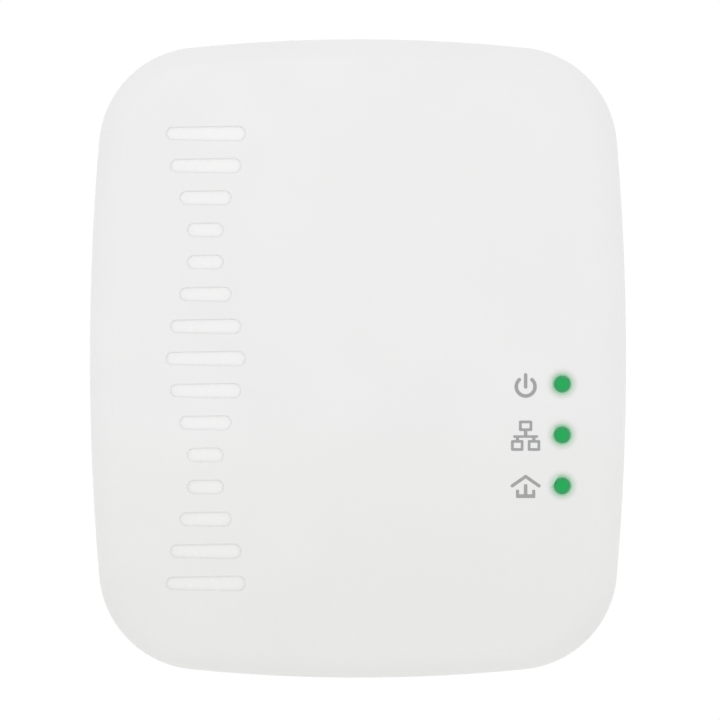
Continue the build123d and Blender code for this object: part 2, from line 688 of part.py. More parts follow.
for light_name, light_at in zip(LIGHT_NAMES, LIGHTS):
    flange_y = dome_y(*light_at, WALL) + LENS_FLANGE
    lens_y = dome_y(*light_at) + LENS_SUNK
    with BuildPart() as light_pipe:
        with BuildSketch(facing_room(flange_y)):
            with Locations(light_at):
                Circle(LENS_FLANGE_RADIUS)
        extrude(amount=2)
        add(BEHIND_COVER, mode=Mode.INTERSECT)
        with BuildSketch(facing_room(flange_y)):
            with Locations(light_at):
                Circle(LENS_RADIUS)
        extrude(amount=flange_y - lens_y)
        fillet(light_pipe.faces().sort_by(Axis.Y)[0].edges(), SMALL_BEVEL)
        with BuildSketch(facing_room(LIGHT_GUIDE_END_Y)):
            with Locations(light_at):
                Circle(LIGHT_GUIDE_RADIUS)
        extrude(amount=LIGHT_GUIDE_END_Y - flange_y)
    write(light_pipe, f"light_pipe_{light_name}")

    with BuildPart() as led:
        with BuildSketch(facing_room(MAIN_FRONT_Y)):
            with Locations(light_at):
                Rectangle(LED_BASE[0], LED_BASE[1])
        extrude(amount=LED_BASE[2])
        with BuildSketch(facing_room(MAIN_FRONT_Y - LED_BASE[2])):
            with Locations(light_at):
                Rectangle(LED_CAP[0], LED_CAP[1])
        extrude(amount=LED_CAP[2], taper=LED_CAP_DRAFT)
    write(led, f"led_{light_name}")

with BuildPart() as light_shield:
    with BuildSketch(facing_room(MAIN_FRONT_Y)):
        with Locations((LIGHT_X, LIGHT_MID)):
            RectangleRounded(SHIELD_WIDTH, len(LIGHTS) * LIGHT_PITCH, SHIELD_CORNER)
    extrude(amount=SHIELD_HEIGHT)
    with BuildSketch(facing_room(MAIN_FRONT_Y)):
        with Locations(*LIGHTS):
            Rectangle(SHIELD_CELL[0], SHIELD_CELL[1])
    extrude(amount=SHIELD_CELL[2], mode=Mode.SUBTRACT)
    with BuildSketch(facing_room(MAIN_FRONT_Y)):
        with Locations(*LIGHTS):
            Circle(SHIELD_BORE)
    extrude(amount=SHIELD_HEIGHT, mode=Mode.SUBTRACT)
write(light_shield, "light_shield")

# ---- main board ----------------------------------------------------------------------------------
def contact_x(index):
    """Place of one of the jack's contacts across its width."""
    return (index - (CONTACTS - 1) / 2) * CONTACT_PITCH


CONTACT_TAILS = [(contact_x(k), TAIL_ROWS[k % 2]) for k in range(CONTACTS)]

with BuildPart() as main_board:
    with BuildSketch(facing_room(MAIN_REAR_Y)):
        body_outline(MAIN_BOARD_INSET)
        with Locations(*SCREWS):
            Circle(CLEARANCE_HOLE, mode=Mode.SUBTRACT)
        with Locations(*PEGS):
            Circle(PEG_RADIUS + FIT, mode=Mode.SUBTRACT)
        with Locations(*CONTACT_TAILS):
            Circle(PIN_HOLE, mode=Mode.SUBTRACT)
        with Locations(LINK):
            with GridLocations(LINK_PITCH, 0, LINK_PINS, 1):
                Circle(PIN_HOLE, mode=Mode.SUBTRACT)
    extrude(amount=MAIN_BOARD)
write(main_board, "main_board")

with BuildPart() as powerline_soc:
    with BuildSketch(facing_room(MAIN_FRONT_Y)):
        with Locations(SOC_AT):
            Rectangle(SOC[0], SOC[1])
    extrude(amount=SOC[2])
    chamfer(powerline_soc.faces().sort_by(Axis.Y)[0].edges(), SMALL_BEVEL)
write(powerline_soc, "powerline_soc")

with BuildPart() as thermal_pad:
    with BuildSketch(facing_room(MAIN_FRONT_Y - SOC[2])):
        with Locations(SOC_AT):
            RectangleRounded(THERMAL_PAD[0], THERMAL_PAD[1], MOULD_CORNER)
    extrude(amount=THERMAL_PAD[2])
write(thermal_pad, "thermal_pad")

SPREADER_Y = MAIN_FRONT_Y - SOC[2] - THERMAL_PAD[2]

with BuildPart() as heat_spreader:
    with BuildSketch(facing_room(SPREADER_Y)):
        with Locations(SOC_AT):
            RectangleRounded(SPREADER[0], SPREADER[1], 1)
    extrude(amount=SPREADER[2])
    with BuildSketch(facing_room(SPREADER_Y - SPREADER_BASE)):
        with Locations(SOC_AT):
            with GridLocations(0, SPREADER_PITCH, 1, SPREADER_GROOVES):
                Rectangle(*SPREADER_GROOVE)
    extrude(amount=SPREADER[2], mode=Mode.SUBTRACT)
write(heat_spreader, "heat_spreader")

with BuildPart() as memory_chip:
    with BuildSketch(facing_room(MAIN_FRONT_Y - CHIP_LIFT)):
        with Locations(MEMORY_AT):
            Rectangle(MEMORY[0], MEMORY[1])
    extrude(amount=MEMORY[2])
    chamfer(memory_chip.faces().sort_by(Axis.Y)[0].edges(), SMALL_BEVEL)
    with BuildSketch(facing_room(MAIN_FRONT_Y)):
        with Locations(MEMORY_AT):
            with GridLocations(MEMORY_LEADS[0], LEAD_PITCH, 2, MEMORY_LEADS[1]):
                Rectangle(*LEAD)
    extrude(amount=LEAD_HEIGHT)
write(memory_chip, "memory_chip")

with BuildPart() as flash_chip:
    with BuildSketch(facing_room(MAIN_FRONT_Y - CHIP_LIFT)):
        with Locations(FLASH_AT):
            Rectangle(FLASH[0], FLASH[1])
    extrude(amount=FLASH[2])
    chamfer(flash_chip.faces().sort_by(Axis.Y)[0].edges(), SMALL_BEVEL)
    with BuildSketch(facing_room(MAIN_FRONT_Y)):
        with Locations(FLASH_AT):
            with GridLocations(FLASH_LEADS[0], LEAD_PITCH, 2, FLASH_LEADS[1]):
                Rectangle(*LEAD)
    extrude(amount=LEAD_HEIGHT)
write(flash_chip, "flash_chip")

with BuildPart() as clock_crystal:
    with BuildSketch(facing_room(MAIN_FRONT_Y)):
        with Locations(CRYSTAL_AT):
            RectangleRounded(CRYSTAL[0], CRYSTAL[1], MOULD_CORNER)
    extrude(amount=CRYSTAL[2])
    fillet(clock_crystal.faces().sort_by(Axis.Y)[0].edges(), SMALL_BEVEL)
write(clock_crystal, "clock_crystal")

with BuildPart() as decoupling_capacitors:
    with BuildSketch(facing_room(MAIN_FRONT_Y)):
        with Locations(SOC_AT):
            with GridLocations(*SMALL_CAPACITOR_GRID):
                Rectangle(SMALL_CAPACITOR[0], SMALL_CAPACITOR[1])
    extrude(amount=SMALL_CAPACITOR[2])
write(decoupling_capacitors, "decoupling_capacitors")

with BuildPart() as led_resistors:
    with BuildSketch(facing_room(MAIN_FRONT_Y)):
        with Locations((LIGHT_X - LED_RESISTOR_GAP, LIGHT_MID)):
            with GridLocations(0, LIGHT_PITCH, 1, len(LIGHTS)):
                Rectangle(SMALL_RESISTOR[0], SMALL_RESISTOR[1])
    extrude(amount=SMALL_RESISTOR[2])
write(led_resistors, "led_resistors")

with BuildPart() as line_driver:
    with BuildSketch(facing_room(MAIN_REAR_Y)):
        with Locations(DRIVER_AT):
            Rectangle(DRIVER[0], DRIVER[1])
    extrude(amount=-DRIVER[2])
    chamfer(line_driver.faces().sort_by(Axis.Y)[-1].edges(), SMALL_BEVEL)
write(line_driver, "line_driver")

# ---- network jack --------------------------------------------------------------------------------
JACK_BACK_Y = MAIN_REAR_Y + JACK_SIZE[1]
JACK_REAR_Z = JACK_MOUTH + JACK_SIZE[2]
CAVITY_WALL_Y = JACK_BACK_Y - CAVITY_SET_IN
CAVITY_Y = CAVITY_WALL_Y - CAVITY[1] / 2
LATCH_Y = CAVITY_WALL_Y - CAVITY[1] - LATCH[1] / 2
MOUTH_PLANE = above_centre(JACK_MOUTH)

with BuildPart() as ethernet_jack_shield:
    with BuildSketch(MOUTH_PLANE):
        with Locations((0, MAIN_REAR_Y + JACK_SIZE[1] / 2)):
            Rectangle(JACK_SIZE[0], JACK_SIZE[1])
    extrude(amount=JACK_SIZE[2])
    fillet(ethernet_jack_shield.edges().filter_by(Axis.Z).sort_by(Axis.Y)[-2:], JACK_CORNER)
    with BuildSketch(above_centre(JACK_MOUTH + SHEET)):
        with Locations((0, MAIN_REAR_Y + (JACK_SIZE[1] - SHEET) / 2)):
            Rectangle(JACK_SIZE[0] - 2 * SHEET, JACK_SIZE[1] - SHEET)
    extrude(amount=JACK_SIZE[2] - 2 * SHEET, mode=Mode.SUBTRACT)
    with BuildSketch(MOUTH_PLANE):
        with Locations((0, CAVITY_Y)):
            RectangleRounded(CAVITY[0] + 2 * MOUTH_FRAME, CAVITY[1] + 2 * MOUTH_FRAME, MOUTH_FRAME)
        with Locations((0, LATCH_Y)):
            Rectangle(LATCH[0] + 2 * MOUTH_FRAME, LATCH[1] + 2 * MOUTH_FRAME)
    extrude(amount=SHEET, mode=Mode.SUBTRACT)
    # spring fingers: a U-shaped slit in each side
    with BuildSketch(Plane.YZ.offset(-JACK_SIZE[0])):
        with Locations((CAVITY_Y, JACK_MOUTH - PLUG_ABOVE_CENTRE + FINGER_HEIGHT)):
            Rectangle(*FINGER)
            Rectangle(*FINGER_TONGUE, mode=Mode.SUBTRACT)
        with Locations((CAVITY_Y, JACK_MOUTH - PLUG_ABOVE_CENTRE + FINGER_HEIGHT + FINGER_TONGUE[1] / 2)):
            Rectangle(FINGER_TONGUE[0], OVERRUN, mode=Mode.SUBTRACT)
    extrude(amount=2 * JACK_SIZE[0], mode=Mode.SUBTRACT)
write(ethernet_jack_shield, "ethernet_jack_shield")

def contact_wire(index, width):
    """One contact: tail through the board, run along the jack's back, slanted spring in the cavity."""
    tail_z = TAIL_ROWS[index % 2] - PLUG_ABOVE_CENTRE
    mouth_z = JACK_MOUTH - PLUG_ABOVE_CENTRE
    root_y = CAVITY_WALL_Y + CONTACT_ROOTS[index % 2]
    bend, foot, tip = (mouth_z + rise for rise in CONTACT_BENDS)
    with BuildSketch(Plane.YZ.offset(contact_x(index) - width / 2)) as side_view:
        with BuildLine() as centre_line:
            Polyline(
                (MAIN_FRONT_Y - TAIL_PROUD, tail_z),
                (root_y, tail_z),
                (root_y, bend),
                (CAVITY_WALL_Y + CONTACT_WIRE / 2, foot),
                (CAVITY_WALL_Y - CONTACT_TIP, tip),
            )
        trace(centre_line.edges(), width)
    with BuildPart() as wire:
        extrude(side_view.sketch, amount=width)
    return wire.part


with BuildPart() as ethernet_jack_contacts:
    for k in range(CONTACTS):
        add(contact_wire(k, CONTACT_WIRE))
write(ethernet_jack_contacts, "ethernet_jack_contacts")

CHAMBER_Y = CAVITY_WALL_Y + CHAMBER_DEPTH

with BuildPart() as ethernet_jack_insert:
    with BuildSketch(above_centre(JACK_MOUTH + SHEET + INSERT_GAP)):
        with Locations((0, MAIN_REAR_Y + (JACK_SIZE[1] - SHEET - INSERT_GAP) / 2)):
            Rectangle(JACK_SIZE[0] - 2 * SHEET - 2 * INSERT_GAP, JACK_SIZE[1] - SHEET - INSERT_GAP)
    extrude(amount=JACK_SIZE[2] - 2 * SHEET - 2 * INSERT_GAP)
    with BuildSketch(MOUTH_PLANE):
        with Locations((0, CAVITY_Y)):
            Rectangle(CAVITY[0], CAVITY[1])
        with Locations((0, LATCH_Y)):
            Rectangle(LATCH[0], LATCH[1] + 2 * FIT)
    extrude(amount=CAVITY[2], mode=Mode.SUBTRACT)
    # chamber behind the cavity for the contacts' roots, open to the board for their tails
    with BuildSketch(above_centre(JACK_MOUTH + CHAMBER_FLOOR)):
        with Locations((0, CHAMBER_Y)):
            Rectangle(CHAMBER_WIDTH, CHAMBER_DEPTH + OVERRUN, align=(Align.CENTER, Align.MAX))
    extrude(amount=TAIL_ROWS[1] + TAIL_MARGIN - JACK_MOUTH - CHAMBER_FLOOR, mode=Mode.SUBTRACT)
    with BuildSketch(above_centre(TAIL_ROWS[0] - TAIL_MARGIN)):
        with Locations((0, CHAMBER_Y)):
            Rectangle(CHAMBER_WIDTH, CHAMBER_Y - MAIN_REAR_Y, align=(Align.CENTER, Align.MAX))
    extrude(amount=TAIL_ROWS[1] - TAIL_ROWS[0] + 2 * TAIL_MARGIN, mode=Mode.SUBTRACT)
    with BuildSketch(facing_room(MAIN_REAR_Y + OVERLAP)):
        with Locations(*PEGS):
            Circle(PEG_RADIUS)
    extrude(amount=OVERLAP + MAIN_BOARD + PEG_PROUD)
write(ethernet_jack_insert, "ethernet_jack_insert")

with BuildPart() as ethernet_magnetics:
    with BuildSketch(facing_room(MAIN_REAR_Y + MAGNETICS_LIFT)):
        with Locations(MAGNETICS_AT):
            Rectangle(MAGNETICS[0], MAGNETICS[1])
    extrude(amount=-MAGNETICS[2])
    chamfer(ethernet_magnetics.faces().sort_by(Axis.Y)[-1].edges(), LARGE_BEVEL)
    with BuildSketch(facing_room(MAIN_REAR_Y)):
        with Locations(MAGNETICS_AT):
            with GridLocations(MAGNETICS_LEADS[0], LEAD_PITCH, 2, MAGNETICS_LEADS[1]):
                Rectangle(*LEAD)
    extrude(amount=-LEAD_HEIGHT)
write(ethernet_magnetics, "ethernet_magnetics")

with BuildPart() as buck_inductor:
    with BuildSketch(facing_room(MAIN_REAR_Y)):
        with Locations(BUCK_AT):
            RectangleRounded(BUCK[0], BUCK[1], MOULD_CORNER)
    extrude(amount=-BUCK[2])
    with BuildSketch(facing_room(MAIN_REAR_Y + BUCK[2] - BUCK_POCKET[1])):
        with Locations(BUCK_AT):
            Circle(BUCK_POCKET[0])
    extrude(amount=-OVERRUN, mode=Mode.SUBTRACT)
write(buck_inductor, "buck_inductor")



# ---- pair and reset switches ---------------------------------------------------------------------
def switch_body(x):
    """Body of a side-acting tactile switch, with the bore its stem slides in."""
    with BuildPart() as body:
        with BuildSketch(above_centre(SWITCH_FACE)):
            with Locations((x, MAIN_REAR_Y + SWITCH_SIZE[1] / 2)):
                Rectangle(SWITCH_SIZE[0], SWITCH_SIZE[1])
        extrude(amount=SWITCH_SIZE[2])
        with BuildSketch(above_centre(SWITCH_FACE)):
            with Locations((x, SWITCH_AXIS_Y)):
                Circle(SWITCH_STEM + FIT)
        extrude(amount=SWITCH_BORE, mode=Mode.SUBTRACT)
    return body.part


def switch_stem(x):
    """Round stem of a tactile switch, its tip chamfered."""
    with BuildPart() as stem:
        with BuildSketch(above_centre(STEM_TIP)):
            with Locations((x, SWITCH_AXIS_Y)):
                Circle(SWITCH_STEM)
        extrude(amount=STEM_LENGTH)
        chamfer(stem.faces().sort_by(Axis.Z)[0].edges(), STEM_CHAMFER)
    return stem.part


PAIR_SWITCH = switch_body(-SWITCH_X)
PAIR_STEM = switch_stem(-SWITCH_X)
RESET_SWITCH = switch_body(SWITCH_X)
RESET_STEM = switch_stem(SWITCH_X)

with BuildPart() as pair_switch_body:
    add(PAIR_SWITCH)
write(pair_switch_body, "pair_switch_body")

with BuildPart() as reset_switch_body:
    add(RESET_SWITCH)
write(reset_switch_body, "reset_switch_body")

with BuildPart() as pair_switch_plunger:
    add(PAIR_STEM)
write(pair_switch_plunger, "pair_switch_plunger")

with BuildPart() as reset_switch_plunger:
    add(RESET_STEM)
write(reset_switch_plunger, "reset_switch_plunger")

SWITCH_MIDDLES = [(x, MAIN_REAR_Y + SWITCH_SIZE[1] / 2) for x in (-SWITCH_X, SWITCH_X)]

with BuildPart() as switch_frames:
    with BuildSketch(above_centre(SWITCH_FACE - FRAME_SHEET)):
        with Locations(*SWITCH_MIDDLES):
            Rectangle(SWITCH_SIZE[0] + 2 * FRAME_SHEET, SWITCH_SIZE[1])
    extrude(amount=FRAME_SHEET + FRAME_WRAP)
    with BuildSketch(above_centre(SWITCH_FACE)):
        with Locations(*SWITCH_MIDDLES):
            Rectangle(SWITCH_SIZE[0], SWITCH_SIZE[1])
    extrude(amount=FRAME_WRAP, mode=Mode.SUBTRACT)
    with BuildSketch(above_centre(SWITCH_FACE - FRAME_SHEET)):
        with Locations((-SWITCH_X, SWITCH_AXIS_Y), (SWITCH_X, SWITCH_AXIS_Y)):
            Circle(SWITCH_STEM + FRAME_HOLE_FIT)
    extrude(amount=FRAME_SHEET, mode=Mode.SUBTRACT)
write(switch_frames, "switch_frames")

DISH_Z = -BODY_HEIGHT / 2 - PLUG_ABOVE_CENTRE + BUTTON_DISH_DEPTH - BUTTON_DISH

with BuildPart() as pair_button:
    with BuildSketch(above_centre(-BODY_HEIGHT / 2)):
        with Locations((-SWITCH_X, SWITCH_AXIS_Y)):
            RectangleRounded(BUTTON[0], BUTTON[1], BUTTON_CORNER - BUTTON_GAP)
    extrude(amount=BUTTON_LENGTH)
    add(REAR_OUTER, mode=Mode.INTERSECT)
    fillet(pair_button.faces().sort_by(Axis.Z)[0].edges(), SMALL_BEVEL)
    with BuildSketch(above_centre(FLANGE_FACE)):
        with Locations((-SWITCH_X, SWITCH_AXIS_Y)):
            RectangleRounded(FLANGE[0], FLANGE[1], FLANGE_CORNER)
    extrude(amount=FLANGE[2])
    with Locations((-SWITCH_X, SWITCH_AXIS_Y, DISH_Z)):
        Sphere(BUTTON_DISH, mode=Mode.SUBTRACT)
write(pair_button, "pair_button")

# ---- power board ---------------------------------------------------------------------------------
TAIL_X = PIN_SPACING / 2 - (POWER_FRONT_Y + POWER_REAR_Y) / 2 * tan(PIN_TILT)
TAILS = [(-TAIL_X, PLUG_ABOVE_CENTRE), (TAIL_X, PLUG_ABOVE_CENTRE)]

with BuildPart() as power_board:
    with BuildSketch(facing_room(POWER_REAR_Y)):
        body_outline(POWER_BOARD_INSET)
        with Locations((0, POWER_BOARD_END)):
            Rectangle(BODY_WIDTH, BODY_HEIGHT, align=(Align.CENTER, Align.MAX), mode=Mode.SUBTRACT)
        with Locations(*SCREWS):
            Circle(BOSS_RADIUS + BOSS_GAP, mode=Mode.SUBTRACT)
        with Locations(*TAILS):
            Circle(PIN_TAIL_RADIUS + TAIL_HOLE_FIT, mode=Mode.SUBTRACT)
        with Locations(LINK):
            with GridLocations(LINK_PITCH, 0, LINK_PINS, 1):
                Circle(PIN_HOLE, mode=Mode.SUBTRACT)
    extrude(amount=POWER_BOARD)
write(power_board, "power_board")

with BuildPart() as mains_solder_joints:
    with BuildSketch(facing_room(POWER_FRONT_Y)):
        with Locations(*TAILS):
            Circle(SOLDER[0])
    extrude(amount=SOLDER[1], taper=SOLDER[2])
    add(LEFT_PIN, mode=Mode.SUBTRACT)
    add(RIGHT_PIN, mode=Mode.SUBTRACT)
write(mains_solder_joints, "mains_solder_joints")

with BuildPart() as input_fuse:
    with BuildSketch(facing_room(POWER_FRONT_Y)):
        with Locations(FUSE_AT):
            RectangleRounded(FUSE[0], FUSE[1], MOULD_CORNER)
    extrude(amount=FUSE[2])
    fillet(input_fuse.faces().sort_by(Axis.Y)[0].edges(), LARGE_BEVEL)
write(input_fuse, "input_fuse")


def disc_above_board(at, radius, thickness):
    """A disc part standing on edge on the power board: two leads and the coated disc."""
    with BuildPart() as disc:
        with BuildSketch(facing_room(POWER_FRONT_Y)):
            with Locations(at):
                with GridLocations(radius, 0, 2, 1):
                    Circle(LEAD_WIRE)
        extrude(amount=LEAD_LENGTH + OVERRUN)
        with Locations((at[0], POWER_FRONT_Y - LEAD_LENGTH - radius, at[1] - PLUG_ABOVE_CENTRE)):
            Cylinder(radius, thickness)
        fillet(disc.edges().filter_by(GeomType.CIRCLE).group_by(SortBy.LENGTH)[-1], DISC_ROUND)
    return disc.part


def radial_capacitor(at):
    """An electrolytic capacitor standing on the power board: sleeved can with a crimped foot."""
    groove_y = POWER_FRONT_Y - CAN_GROOVE_HEIGHT
    score, depth = CAN_SCORE
    with BuildPart() as can:
        with BuildSketch(facing_room(POWER_FRONT_Y - CAN_LIFT)):
            with Locations(at):
                Circle(CAN_RADIUS)
        extrude(amount=TALL - CAN_LIFT)
        fillet(can.edges(), CAN_ROUND)
        with Locations(Plane(origin=(at[0], groove_y, at[1] - PLUG_ABOVE_CENTRE), z_dir=(0, 1, 0))):
            Torus(CAN_RADIUS + depth, CAN_ROUND, mode=Mode.SUBTRACT)
        with BuildSketch(facing_room(POWER_FRONT_Y - TALL + depth)):
            with Locations(at):
                Rectangle(score, 2 * CAN_RADIUS - 2)
                Rectangle(2 * CAN_RADIUS - 2, score)
        extrude(amount=depth, mode=Mode.SUBTRACT)
    return can.part


VARISTOR = disc_above_board(VARISTOR_AT, *VARISTOR_DISC)
SAFETY = disc_above_board(SAFETY_AT, *SAFETY_DISC)
BULK_CANS = [radial_capacitor(at) for at in BULK_AT]
OUTPUT_CAN = radial_capacitor(OUTPUT_AT)

with BuildPart() as surge_varistor:
    add(VARISTOR)
write(surge_varistor, "surge_varistor")

with BuildPart() as safety_capacitor:
    add(SAFETY)
write(safety_capacitor, "safety_capacitor")

with BuildPart() as bulk_capacitors:
    for can in BULK_CANS:
        add(can)
write(bulk_capacitors, "bulk_capacitors")

with BuildPart() as output_capacitor:
    add(OUTPUT_CAN)
write(output_capacitor, "output_capacitor")

with BuildPart() as film_capacitor:
    with BuildSketch(facing_room(POWER_FRONT_Y)):
        with Locations(FILM_AT):
            Rectangle(FILM[0], FILM[1])
    extrude(amount=FILM[2])
    fillet(film_capacitor.faces().sort_by(Axis.Y)[0].edges(), LARGE_BEVEL)
write(film_capacitor, "film_capacitor")

CHOKE_CENTRE = (CHOKE_AT[0], POWER_FRONT_Y - CHOKE_LIFT, CHOKE_AT[1] - PLUG_ABOVE_CENTRE)
CHOKE_PLANE = Plane(origin=CHOKE_CENTRE, x_dir=(1, 0, 0), z_dir=(0, -1, 0))

with BuildPart(CHOKE_PLANE) as choke_core:
    Torus(CHOKE_RING, CHOKE_SECTION)
write(choke_core, "choke_core")

with BuildPart(CHOKE_PLANE) as choke_windings:
    for start in (90 - CHOKE_SPREAD / 2, 270 - CHOKE_SPREAD / 2):
        with PolarLocations(CHOKE_RING, CHOKE_TURNS, start, CHOKE_SPREAD, endpoint=True):
            Torus(CHOKE_SECTION + CHOKE_WIRE + FIT, CHOKE_WIRE, rotation=(90, 0, 0))
write(choke_windings, "choke_windings")

with BuildPart() as bridge_rectifier:
    with BuildSketch(facing_room(POWER_FRONT_Y - CHIP_LIFT)):
        with Locations(BRIDGE_AT):
            Rectangle(BRIDGE[0], BRIDGE[1])
    extrude(amount=BRIDGE[2])
    chamfer(bridge_rectifier.faces().sort_by(Axis.Y)[0].edges(), LARGE_BEVEL)
    with BuildSketch(facing_room(POWER_FRONT_Y)):
        with Locations(BRIDGE_AT):
            with GridLocations(*BRIDGE_LEADS, 2, 2):
                Rectangle(BRIDGE_LEAD[0], BRIDGE_LEAD[1])
    extrude(amount=BRIDGE_LEAD[2])
write(bridge_rectifier, "bridge_rectifier")

CORE_Y = POWER_FRONT_Y - CORE_LIFT
WINDOW_SPACING = 2 * CORE_LEG + CORE_WINDOW[0]

with BuildPart() as transformer_core:
    with BuildSketch(facing_room(CORE_Y)):
        with Locations(TRANSFORMER):
            Rectangle(CORE[0], CORE[1])
    extrude(amount=CORE[2])
    with BuildSketch(above_centre(TRANSFORMER[1] - CORE[1])):
        with Locations((TRANSFORMER[0], CORE_Y - CORE[2] / 2)):
            with GridLocations(WINDOW_SPACING, 0, 2, 1):
                Rectangle(*CORE_WINDOW)
    extrude(amount=2 * CORE[1], mode=Mode.SUBTRACT)
write(transformer_core, "transformer_core")

BOBBIN_BACK_Y = CORE_Y - (CORE[2] - CORE_WINDOW[1]) / 2 - BOBBIN_FIT
BOBBIN_HEIGHT = CORE_WINDOW[1] - 2 * BOBBIN_FIT

with BuildPart() as transformer_bobbin:
    with BuildSketch(facing_room(BOBBIN_BACK_Y)):
        with Locations(TRANSFORMER):
            Rectangle(*BOBBIN_TUBE)
    extrude(amount=BOBBIN_HEIGHT)
    for flange_y in (BOBBIN_BACK_Y, BOBBIN_BACK_Y - BOBBIN_HEIGHT + BOBBIN_FLANGE[2]):
        with BuildSketch(facing_room(flange_y)):
            with Locations(TRANSFORMER):
                RectangleRounded(BOBBIN_FLANGE[0], BOBBIN_FLANGE[1], MOULD_CORNER)
        extrude(amount=BOBBIN_FLANGE[2])
    with BuildSketch(facing_room(BOBBIN_BACK_Y)):
        with Locations(TRANSFORMER):
            Rectangle(2 * CORE_LEG + BOBBIN_FIT, CORE[1] + BOBBIN_FIT)
    extrude(amount=BOBBIN_HEIGHT, mode=Mode.SUBTRACT)
    for row in (-1, 1):
        with BuildSketch(facing_room(POWER_FRONT_Y)):
            with Locations((TRANSFORMER[0], TRANSFORMER[1] + row * BOBBIN_FOOT_SPACING / 2)):
                Rectangle(*BOBBIN_FOOT)
        extrude(amount=POWER_FRONT_Y - BOBBIN_BACK_Y + BOBBIN_FLANGE[2] / 2)
write(transformer_bobbin, "transformer_bobbin")

with BuildPart() as transformer_winding:
    with BuildSketch(facing_room(BOBBIN_BACK_Y - BOBBIN_FLANGE[2])):
        with Locations(TRANSFORMER):
            RectangleRounded(*WINDING)
            Rectangle(*BOBBIN_TUBE, mode=Mode.SUBTRACT)
    extrude(amount=BOBBIN_HEIGHT - 2 * BOBBIN_FLANGE[2])
write(transformer_winding, "transformer_winding")

with BuildPart() as output_diode:
    with BuildSketch(facing_room(POWER_FRONT_Y - CHIP_LIFT)):
        with Locations(DIODE_AT):
            Rectangle(DIODE[0], DIODE[1])
    extrude(amount=DIODE[2])
    chamfer(output_diode.faces().sort_by(Axis.Y)[0].edges(), LARGE_BEVEL)
    with BuildSketch(facing_room(POWER_FRONT_Y)):
        with Locations(DIODE_AT):
            Rectangle(DIODE_TABS[0], DIODE_TABS[1])
    extrude(amount=DIODE_TABS[2])
write(output_diode, "output_diode")

with BuildPart() as switching_controller:
    with BuildSketch(facing_room(POWER_FRONT_Y - CONTROLLER_LIFT)):
        with Locations(CONTROLLER_AT):
            Rectangle(CONTROLLER[0], CONTROLLER[1])
    extrude(amount=CONTROLLER[2])
    chamfer(switching_controller.faces().sort_by(Axis.Y)[0].edges(), LARGE_BEVEL)
    with BuildSketch(facing_room(POWER_FRONT_Y)):
        with Locations(CONTROLLER_AT):
            with GridLocations(CONTROLLER_LEADS[0], CONTROLLER_LEADS[1], 2, CONTROLLER_LEADS[2]):
                Rectangle(CONTROLLER_LEAD[0], CONTROLLER_LEAD[1])
    extrude(amount=CONTROLLER_LEAD[2])
write(switching_controller, "switching_controller")

FILTER_WINDOW_Y = POWER_FRONT_Y - FILTER_WINDOW[0]

with BuildPart() as filter_inductor_core:
    with BuildSketch(facing_room(POWER_FRONT_Y)):
        with Locations(FILTER_AT):
            Circle(FILTER_RADIUS)
    extrude(amount=FILTER_HEIGHT)
    with BuildSketch(facing_room(FILTER_WINDOW_Y)):
        with Locations(FILTER_AT):
            Circle(FILTER_RADIUS + OVERRUN)
            Circle(FILTER_POST, mode=Mode.SUBTRACT)
    extrude(amount=FILTER_WINDOW[1], mode=Mode.SUBTRACT)
write(filter_inductor_core, "filter_inductor_core")

with BuildPart() as filter_inductor_winding:
    with BuildSketch(facing_room(FILTER_WINDOW_Y)):
        with Locations(FILTER_AT):
            Circle(FILTER_WINDING)
            Circle(FILTER_POST, mode=Mode.SUBTRACT)
    extrude(amount=FILTER_WINDOW[1])
write(filter_inductor_winding, "filter_inductor_winding")

with BuildPart() as line_coupling_transformer:
    with BuildSketch(facing_room(POWER_FRONT_Y)):
        with Locations(COUPLER_AT):
            Rectangle(COUPLER[0], COUPLER[1])
    extrude(amount=COUPLER[2])
    chamfer(line_coupling_transformer.faces().sort_by(Axis.Y)[0].edges(), LARGE_BEVEL)
write(line_coupling_transformer, "line_coupling_transformer")

# ---- link between the boards, insulation and label -----------------------------------------------
with BuildPart() as board_link_header:
    with BuildSketch(facing_room(POWER_FRONT_Y)):
        with Locations(LINK):
            Rectangle(LINK_PINS * LINK_PITCH, LINK_BODY[0])
            with GridLocations(LINK_PITCH, 0, LINK_PINS, 1):
                Rectangle(LINK_PIN, LINK_PIN, mode=Mode.SUBTRACT)
    extrude(amount=LINK_BODY[1])
write(board_link_header, "board_link_header")

LINK_END_Y = POWER_REAR_Y + LINK_PROUD / 2

with BuildPart() as board_link_pins:
    with BuildSketch(facing_room(LINK_END_Y)):
        with Locations(LINK):
            with GridLocations(LINK_PITCH, 0, LINK_PINS, 1):
                Rectangle(LINK_PIN, LINK_PIN)
    extrude(amount=LINK_END_Y - MAIN_FRONT_Y + LINK_PROUD)
write(board_link_pins, "board_link_pins")

with BuildPart() as insulating_sheet:
    with BuildSketch(facing_room(POWER_FRONT_Y - TALL - SHEET_GAP)):
        body_outline(SHEET_INSET)
        with Locations((0, POWER_BOARD_END + SHEET_FIT)):
            Rectangle(BODY_WIDTH, BODY_HEIGHT, align=(Align.CENTER, Align.MAX), mode=Mode.SUBTRACT)
        with Locations(*SCREWS):
            Circle(BOSS_RADIUS + SHEET_FIT, mode=Mode.SUBTRACT)
        with Locations(LINK):
            Rectangle(LINK_PINS * LINK_PITCH + 1, LINK_BODY[0] + 1, mode=Mode.SUBTRACT)
    extrude(amount=SHEET_THICKNESS)
write(insulating_sheet, "insulating_sheet")

with BuildPart() as rating_label:
    with BuildSketch(facing_room(BACK_Y - LABEL_SEAT)):
        with Locations((0, LABEL_HEIGHT)):
            RectangleRounded(*LABEL)
    extrude(amount=-LABEL_SHEET)
write(rating_label, "rating_label")
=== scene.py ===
import math

import bmesh
import bpy
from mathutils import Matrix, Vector
from mathutils.bvhtree import BVHTree


